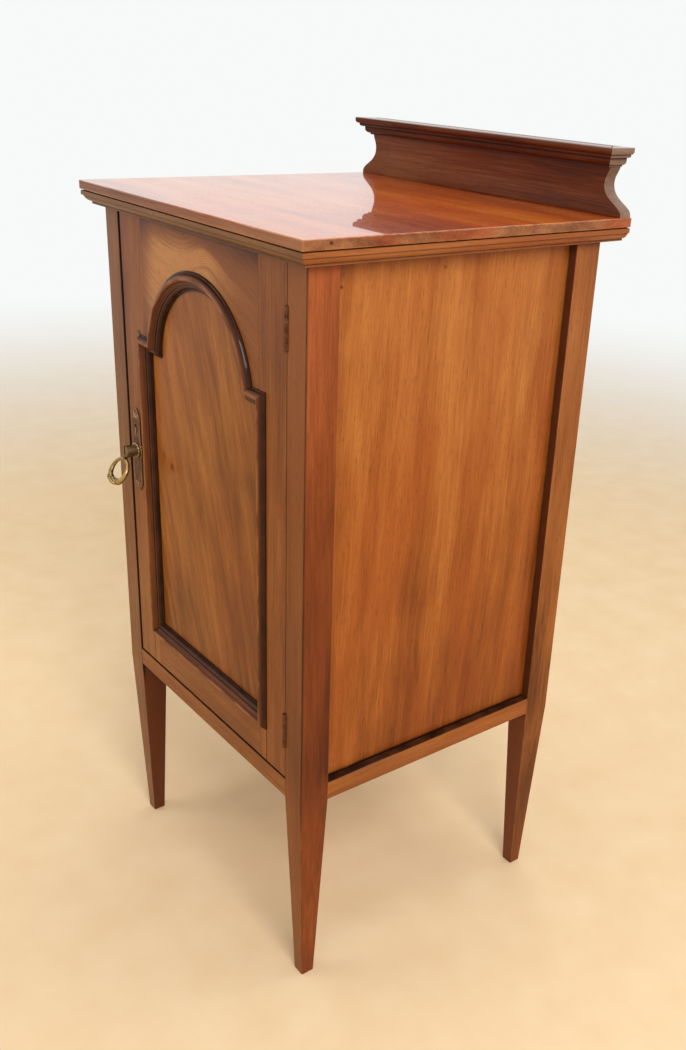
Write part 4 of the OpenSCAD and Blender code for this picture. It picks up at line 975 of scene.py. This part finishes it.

# %% Where dirt and painted shade go: along the joints, under the moulding, and in the door's gaps
under_top = top_z - MOULD_TALL
rail_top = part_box("lower_rail_front")[1].z / MM
leg_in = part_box("leg_rear_right")[0].y / MM
leg_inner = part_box("leg_front_right")[1].y / MM
left_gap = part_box("leg_front_left")[1].x / MM
stile_low, stile_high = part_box("door_stile_lock")
hinge_low, hinge_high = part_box("door_stile_hinge")
door_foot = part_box("door_rail_bottom")[0].z / MM
BEAD_WIDE = inset.max()
# Painted shade with some dirt: in the groove under the top board, and in the creases along the door moulding's
# edges on the panel and the stiles.
quirk = (("z", top_z - 0.6, 1, 0.6),)
panel_edge = (
    ("x", middle - half + BEAD_WIDE, 3, 0.9), ("x", middle + half - BEAD_WIDE, 2, 0.6),
    ("z", foot + BEAD_WIDE, 2.5, 0.8), ("r", arch_r - BEAD_WIDE, 3, 0.7),
)
stile_edge = (("front low x", middle - half, 1.6, 0.7), ("front low x", middle + half, 1.6, 0.9))

# %% Knots, stains, smudges and painted shade: a middle and half sizes on two axes, and a strength
keyhole_z = PIVOT[2] + 26.5
# The keyhole: a dark patch on the stile behind the plate's hole, dirt and painted shade in the hole.
KEYHOLE = ((PIVOT[0], keyhole_z, 2.6, 2.6, 2), (PIVOT[0], keyhole_z - 5.5, 1.7, 6.5, 2))
SHOULDER_SMUDGE = (middle - half - 1, shoulder + 1, 8, 5, 0.6)
SIDE_KNOT, SIDE_SCRATCH = (56.4, 584.9, 0.8, 1.2, 0.9), (-26, 673.6, 0.7, 13, 0.45)
LEG_CORNER = (side_wall, front_wall, 2.2, 2.2, 0.6)
RAIL_STAIN = (-58, 236, 22, 9, 0.3)
PANEL_KNOT, PANEL_STREAK = (-71, 498, 6, 6, 0.5), (-88, 505, 5, 9, 0.25)
PANEL_SHADE = (78, 530, 26, 20, 0.22)
EDGE_KNOT = (-152.5, 766.4, 2.6, 2.4, 0.9)
# CURL_BLAZE is where the curl's figure is stronger and lighter: its own figure, with its sheen painted in.
CURL_BLAZE = (-22, 716, 80, 32, 1)

# %% Sides, legs and lower rails
# The side's glow paints it lighter towards the top, as the light falls off downwards.
board("side_panel_left side_panel_right", "side_wood", "side", SIDE, 11, lean=-0.04, base=0.49,
    band=0.7, ribbon=0.42, ribbon_length=75, streak=0.46, pores=0.36, specks=26,
    glow=(("z", 260, 720, 0.36),), stains=(SIDE_KNOT, SIDE_SCRATCH), grime=(
        # Dark lines: painted shade under the moulding and by the rear legs, and dirt with shade along the rail.
        ("z", under_top, 9, 0.6), ("z", rail_top, 4.5, 1.2), ("y", leg_in, 13, 0.4),
        ("y", leg_in, 4, 0.8)))
# A pale line paints the highlight on the leg's edge by the side panel; a dark line paints the shade under the
# moulding.
board("leg_front_right", "leg_wood_a", "z", LEG, 23, base=0.63, band=0.6, ribbon=0.5, streak=0.5,
    glow=(("z", 500, 740, 0.5), ("z", 260, 520, 0.2), ("z", 280, 160, 0.26)),
    side=LEG_SIDE, wear=1, arris=(44, 14, 8), rubs=(("y", leg_inner, 0.8, 0.5),),
    grime=(("z", under_top, 4, 0.8),), stain_axes="xy", stains=(LEG_CORNER,))
# The left front leg's inner faces get a dark tone that paints the shade under the cupboard, and a dark line paints
# the shade in its gap to the door.
board("leg_front_left", "leg_wood_b", "z", FRONT_LEG, 31, streak=0.5, inner=(88, 42, 22),
    grime=(("z", under_top, 4, 0.8), ("front x", left_gap, 1.3, 1.2)))
# The rear legs' inner faces are painted dark as shade, and their glow paints them darker lower down, in the shade
# under the case.
board("leg_rear_left leg_rear_right", "leg_wood_c", "z", LEG_REAR, 47, streak=0.5, base=0.4,
    glow=(("z", 250, 420, 0.22),), inner=(110, 58, 34),
    grime=(("z", under_top, 6, 0.8), ("y", leg_in, 0.6, 0.5)))
# Dark lines along the rails' tops: dirt, and painted shade in the gap under the door.
board("lower_rail_front lower_rail_rear", "rail_wood_front", "x", DOOR, 53, streak=0.5,
    grime=(("front z", rail_top, 0.8, 0.9),))
board("lower_rail_left lower_rail_right", "rail_wood_side", "y", LEG_REAR, 59, streak=0.5,
    base=0.45, grime=(("z", rail_top, 1, 0.9),))

# %% The door
# Dark lines along the door's gaps and along the moulding's edges paint the shade there, with some dirt.
board("door_stile_lock door_stop", "stile_wood_lock", "z", DOOR, 61, streak=0.45, cloud=0.5,
    blush=0.08, grime=(("front x", stile_low.x / MM, 1, 1.3), *stile_edge), stain_axes="xz",
    stains=(*KEYHOLE, SHOULDER_SMUDGE))
board("door_stile_hinge", "stile_wood_hinge", "z", DOOR, 67, streak=0.45, cloud=0.6, blush=0.15,
    base=0.46, grime=(("front x", hinge_high.x / MM, 0.7, 0.4),
        ("front x", hinge_low.x / MM, 0.5, 0.7), *stile_edge))
board("door_rail_top", "curl_wood", "wave", CURL, 71, warp=8, base=0.24, band=0.35, ribbon=0.7,
    ribbon_size=5, ribbon_length=200, streak=0.25, cloud=0.5, bloom=CURL_BLAZE, blush=0.1,
    glow=(("x", 90, 10, 0.3), ("z", 744, 722, 0.25), ("x", -120, -76, 0.42)),
    grime=(("front r", arch_r, 2, 0.9), ("z", stile_high.z / MM, 5, 0.6)))
board("door_rail_bottom", "door_rail_wood", "x", DOOR, 73, streak=0.45, base=0.46,
    stain_axes="xz", stains=(RAIL_STAIN,),
    grime=(("front z", foot, 2, 0.9), ("front z", door_foot, 0.8, 0.8)))
board("door_panel", "panel_wood", "z", PANEL, 79, lean=0.27, base=0.48, band=0.6, ribbon=0.65,
    ribbon_size=9, ribbon_length=80, cloud=0.7, pores=0.35, glow=(("z", 300, 660, 0.3),),
    grime=panel_edge, stain_axes="xz", stains=(PANEL_KNOT, PANEL_STREAK, PANEL_SHADE))
# On the mouldings the arris tone lightens the crest: wear, and a painted highlight of the lit ridge.
BEADS_LOOK = dict(rough=0.28, coat=0.28, coat_rough=0.08, blush=0.1, arris=(162, 96, 50), wear=0.9)
board("bead_left bead_right", "bead_wood_up", "z", BEAD, 83, **BEADS_LOOK)
board("bead_bottom bead_shoulder_left bead_shoulder_right", "bead_wood_across", "x", BEAD, 89,
    **BEADS_LOOK)
board("bead_arch", "bead_wood_round", "round", BEAD, 97, centre=(middle, arch_middle),
    **BEADS_LOOK)

# %% The top and the gallery
# The top's pale arrises are wear, with the thin highlight of its rounded edge painted in.
board("top_board", "top_wood", "x", TOP, 101, band=0.9, ribbon=0.9, ribbon_size=9,
    ribbon_length=240, streak=0.6, pores=0.15, specks=20, wear=0.5, arris=(186, 128, 84),
    edge=("z", top_z + 8.3, top_z + 8.95, EDGE), stains=(EDGE_KNOT,), rough=0.25, coat=0.3,
    coat_rough=0.02, gloss_above=top_z + 9, ripple=(80, 5, 20), pits=0)
board("top_bead_front", "top_bead_wood_x", "x", FRONT_EDGE, 103, grime=quirk)
board("top_bead_left top_bead_right", "top_bead_wood_y", "y", COVE, 107, grime=quirk)
# The gallery's top and ends, and the cornice's sides, get pale tones that paint a reflection.
board("gallery_back", "gallery_wood", "x", GALLERY, 109, ribbon_size=5, streak=0.6, coat=0.08,
    glow=(("x", 150, -150, 0.3),),
    edge=("y", gallery_front + 0.8, gallery_front + 0.2, RETURN_REFLECTION))
board("cornice_front", "cornice_wood_x", "x", CORNICE, 113, streak=0.5, coat=0.08,
    gloss_above=cornice_top)
board("cornice_left cornice_right", "cornice_wood_y", "y", RETURN_REFLECTION, 127, streak=0.5, coat=0.15,
    gloss_above=cornice_top)

# %% The inside and the back, which were never polished
board("bottom_board shelf upper_rail_front upper_rail_rear", "inside_wood_x", "x", INSIDE, 131,
    rough=0.6, coat=0, pores=0.2)
board("shelf_bearers glue_blocks upper_rail_left upper_rail_right", "inside_wood_y", "y", INSIDE,
    137, rough=0.6, coat=0, pores=0.2)
board("back_panel", "back_wood", "z", BACK, 139, rough=0.55, coat=0)
print("not wood:", sorted(name for name, piece in pieces.items() if not piece.data.materials))

# %% [markdown]
# ## Brass and steel
#
# The handle and the hinges are cast and rolled brass that has gone brown where nobody rubs it.
# One plain brass would look new. Here a noise decides between brown patina and bright metal, the
# rubbed edges and raised work are always brighter, and roughness follows the patina.

# %% Metal with a patina
def metal(name, bright, dull, seed, shine, rough, size=6):
    """Metal that is bright where it is rubbed and dull elsewhere. `shine` is how far the patina
    lets the bright metal through, in patches of `size` millimetres."""
    material, surface, place = new_finish(name, {"Metallic": 1})
    grain = in_grain(place, "z", seed)
    stain = noise(grain, (size, size, size), 3, 0.6)
    rubbed = strongest(marked(place, "arris"), marked(place, "raised"))
    clean = (stain.step(0.3, 0.75) * shine + rubbed * 0.8).maths("MINIMUM", 1)
    stops = [(0, srgb(*dull)), (1, srgb(*bright))]
    feed(surface, place.node("ValToRGB", {"stops": stops}, {0: clean}), "Base Color")
    scratch = noise(grain, (30, 0.5, 0.5), 2) - 0.5
    feed(surface, (rough + 0.22) - clean * 0.22 + scratch * 0.1, "Roughness")
    feed_bumps(surface, noise(grain, (1.2, 1.2, 1.2), 2) * 0.02)
    return material


brass = metal("drop_brass", (206, 174, 106), (78, 60, 36), 201, 0.35, 0.24)
post_brass = metal("post_brass", (216, 184, 124), (112, 86, 62), 202, 0.25, 0.36)
bronze = metal("plate_bronze", (190, 150, 112), (92, 64, 50), 203, 0.2, 0.42)
hinge_brass = metal("hinge_brass", (168, 130, 92), (92, 56, 34), 207, 0.3, 0.5, size=5)
steel = metal("screw_steel", (150, 148, 144), (86, 80, 74), 211, 0.6, 0.35)

# %% Which piece has which metal
for start, material in (
    ("drop", brass), (("handle_post", "handle_pin", "post_rosette"), post_brass),
    (("handle_plate", "plate"), bronze),
):
    finish_with([piece for name, piece in pieces.items() if name.startswith(start)], material)
STEEL = ("lock_spring", "top_screws", "gallery_screws")
shown = {node: thing for node, thing in nodes.items() if not thing.hide_render}
for node, thing in shown.items():
    finish_with([thing], steel if node in STEEL else hinge_brass)
print("metal on", sorted(shown))

# %% [markdown]
# ## Floor, light and camera
#
# A plain pale floor fades into a white surround, so that the polish has something to reflect. A
# curved backdrop would do the same, but it would hide the cupboard from behind. Large soft lamps
# light the cupboard at a level at which a colour looks about as it is written.

# %% How bright the surround is
AMBIENT = 0.5
SURROUND = (0.93, 0.95, 0.94, 1)


def surround_level(tree):
    """How bright the surround is: plain white to the camera and in reflections, dimmer as light."""
    rays = tree.nodes.new("ShaderNodeLightPath").outputs
    kinds = ("Is Camera Ray", "Is Glossy Ray", "Is Transmission Ray")
    seen = strongest(*(Wire(tree, rays[kind]) for kind in kinds))
    return AMBIENT + seen * (1 - AMBIENT)


# %% Floor
FLOOR_HALF = 12
FADE_FROM, FADE_TO = 1, 3.4  # metres from the middle
FLOOR_STOPS = [(0.3, srgb(246, 213, 168)), (0.7, srgb(251, 221, 178))]
floor_mesh = bpy.data.meshes.new("floor")
corners = np.array([(-1, -1, 0), (1, -1, 0), (1, 1, 0), (-1, 1, 0)]) * FLOOR_HALF
floor_mesh.from_pydata(corners.tolist(), [], [(0, 1, 2, 3)])
floor = add_object("floor", floor_mesh)

DULL = {"Roughness": 0.9, "Specular IOR Level": 0.1}
floor_pale, surface, spot = new_finish("floor_pale", DULL)
tree = floor_pale.node_tree
mottle = noise(in_grain(spot, "x", 5), (60, 60, 60), 3)
feed(surface, spot.node("ValToRGB", {"stops": FLOOR_STOPS}, {0: mottle}), "Base Color")
far = spot.node("VectorMath", {"operation": "LENGTH"}, {0: spot}, 1).step(FADE_FROM, FADE_TO)
glow = spot.node("Emission", sockets={"Color": SURROUND, "Strength": surround_level(tree)})
fading = spot.node("MixShader", sockets={0: far, 1: Wire(tree, surface.outputs[0]), 2: glow})
tree.links.new(fading.output, tree.nodes["Material Output"].inputs["Surface"])
floor_mesh.materials.append(floor_pale)

# %% Surround
world = bpy.data.worlds.new("surround")
bpy.context.scene.world = world
world.use_nodes = True
back = world.node_tree.nodes["Background"]
back.inputs["Color"].default_value = SURROUND
world.node_tree.links.new(surround_level(world.node_tree).output, back.inputs["Strength"])


# %% Lamps
def soft_lamp(name, at, aim, size, power):
    """A square area lamp that points from one place to another, in metres and watts."""
    light = bpy.data.lights.new(name, "AREA")
    light.size = size
    light.energy = power
    lamp = add_object(name, light)
    lamp.location = at
    lamp.rotation_euler = (Vector(aim) - Vector(at)).to_track_quat("-Z", "Y").to_euler()


soft_lamp("key", (2.2, -0.8, 2.2), (0, 0, 0.45), 1.3, 47)
soft_lamp("fill", (-1.6, -2.4, 1.6), (0, 0, 0.4), 1.8, 16)
soft_lamp("overhead", (0, 0.4, 2.8), (0, 0, 0.7), 1.6, 22)

# %% Camera: its place, turn and lens, worked out from where the cupboard's corners appear
CAMERA_AT = (0.90451, -0.64713, 0.89952)
YAW, PITCH, ROLL = (math.radians(degrees) for degrees in (50.39, -24, 3))
PHOTO, CENTRE, FOCAL = (686, 1050), (402.09, 543.19), 1093.05  # pixels
SENSOR = 36
level = np.array([math.cos(YAW), math.sin(YAW), 0])
north = np.array([-math.sin(YAW), math.cos(YAW), 0])
ahead = north * math.cos(PITCH) + np.array([0, 0, math.sin(PITCH)])
above = np.cross(level, ahead)
right = math.cos(ROLL) * level + math.sin(ROLL) * above
up = math.cos(ROLL) * above - math.sin(ROLL) * level
lens = bpy.data.cameras.new("camera")
lens.sensor_width = SENSOR
lens.lens = FOCAL / PHOTO[1] * SENSOR
lens.shift_x = (PHOTO[0] / 2 - CENTRE[0]) / PHOTO[1]
lens.shift_y = (CENTRE[1] - PHOTO[1] / 2) / PHOTO[1]
camera = add_object("camera", lens)
turned = np.eye(4)
turned[:3] = np.column_stack([right, up, -ahead, CAMERA_AT])
camera.matrix_world = Matrix(turned.tolist())
bpy.context.scene.camera = camera
bpy.context.scene.view_settings.view_transform = "Standard"
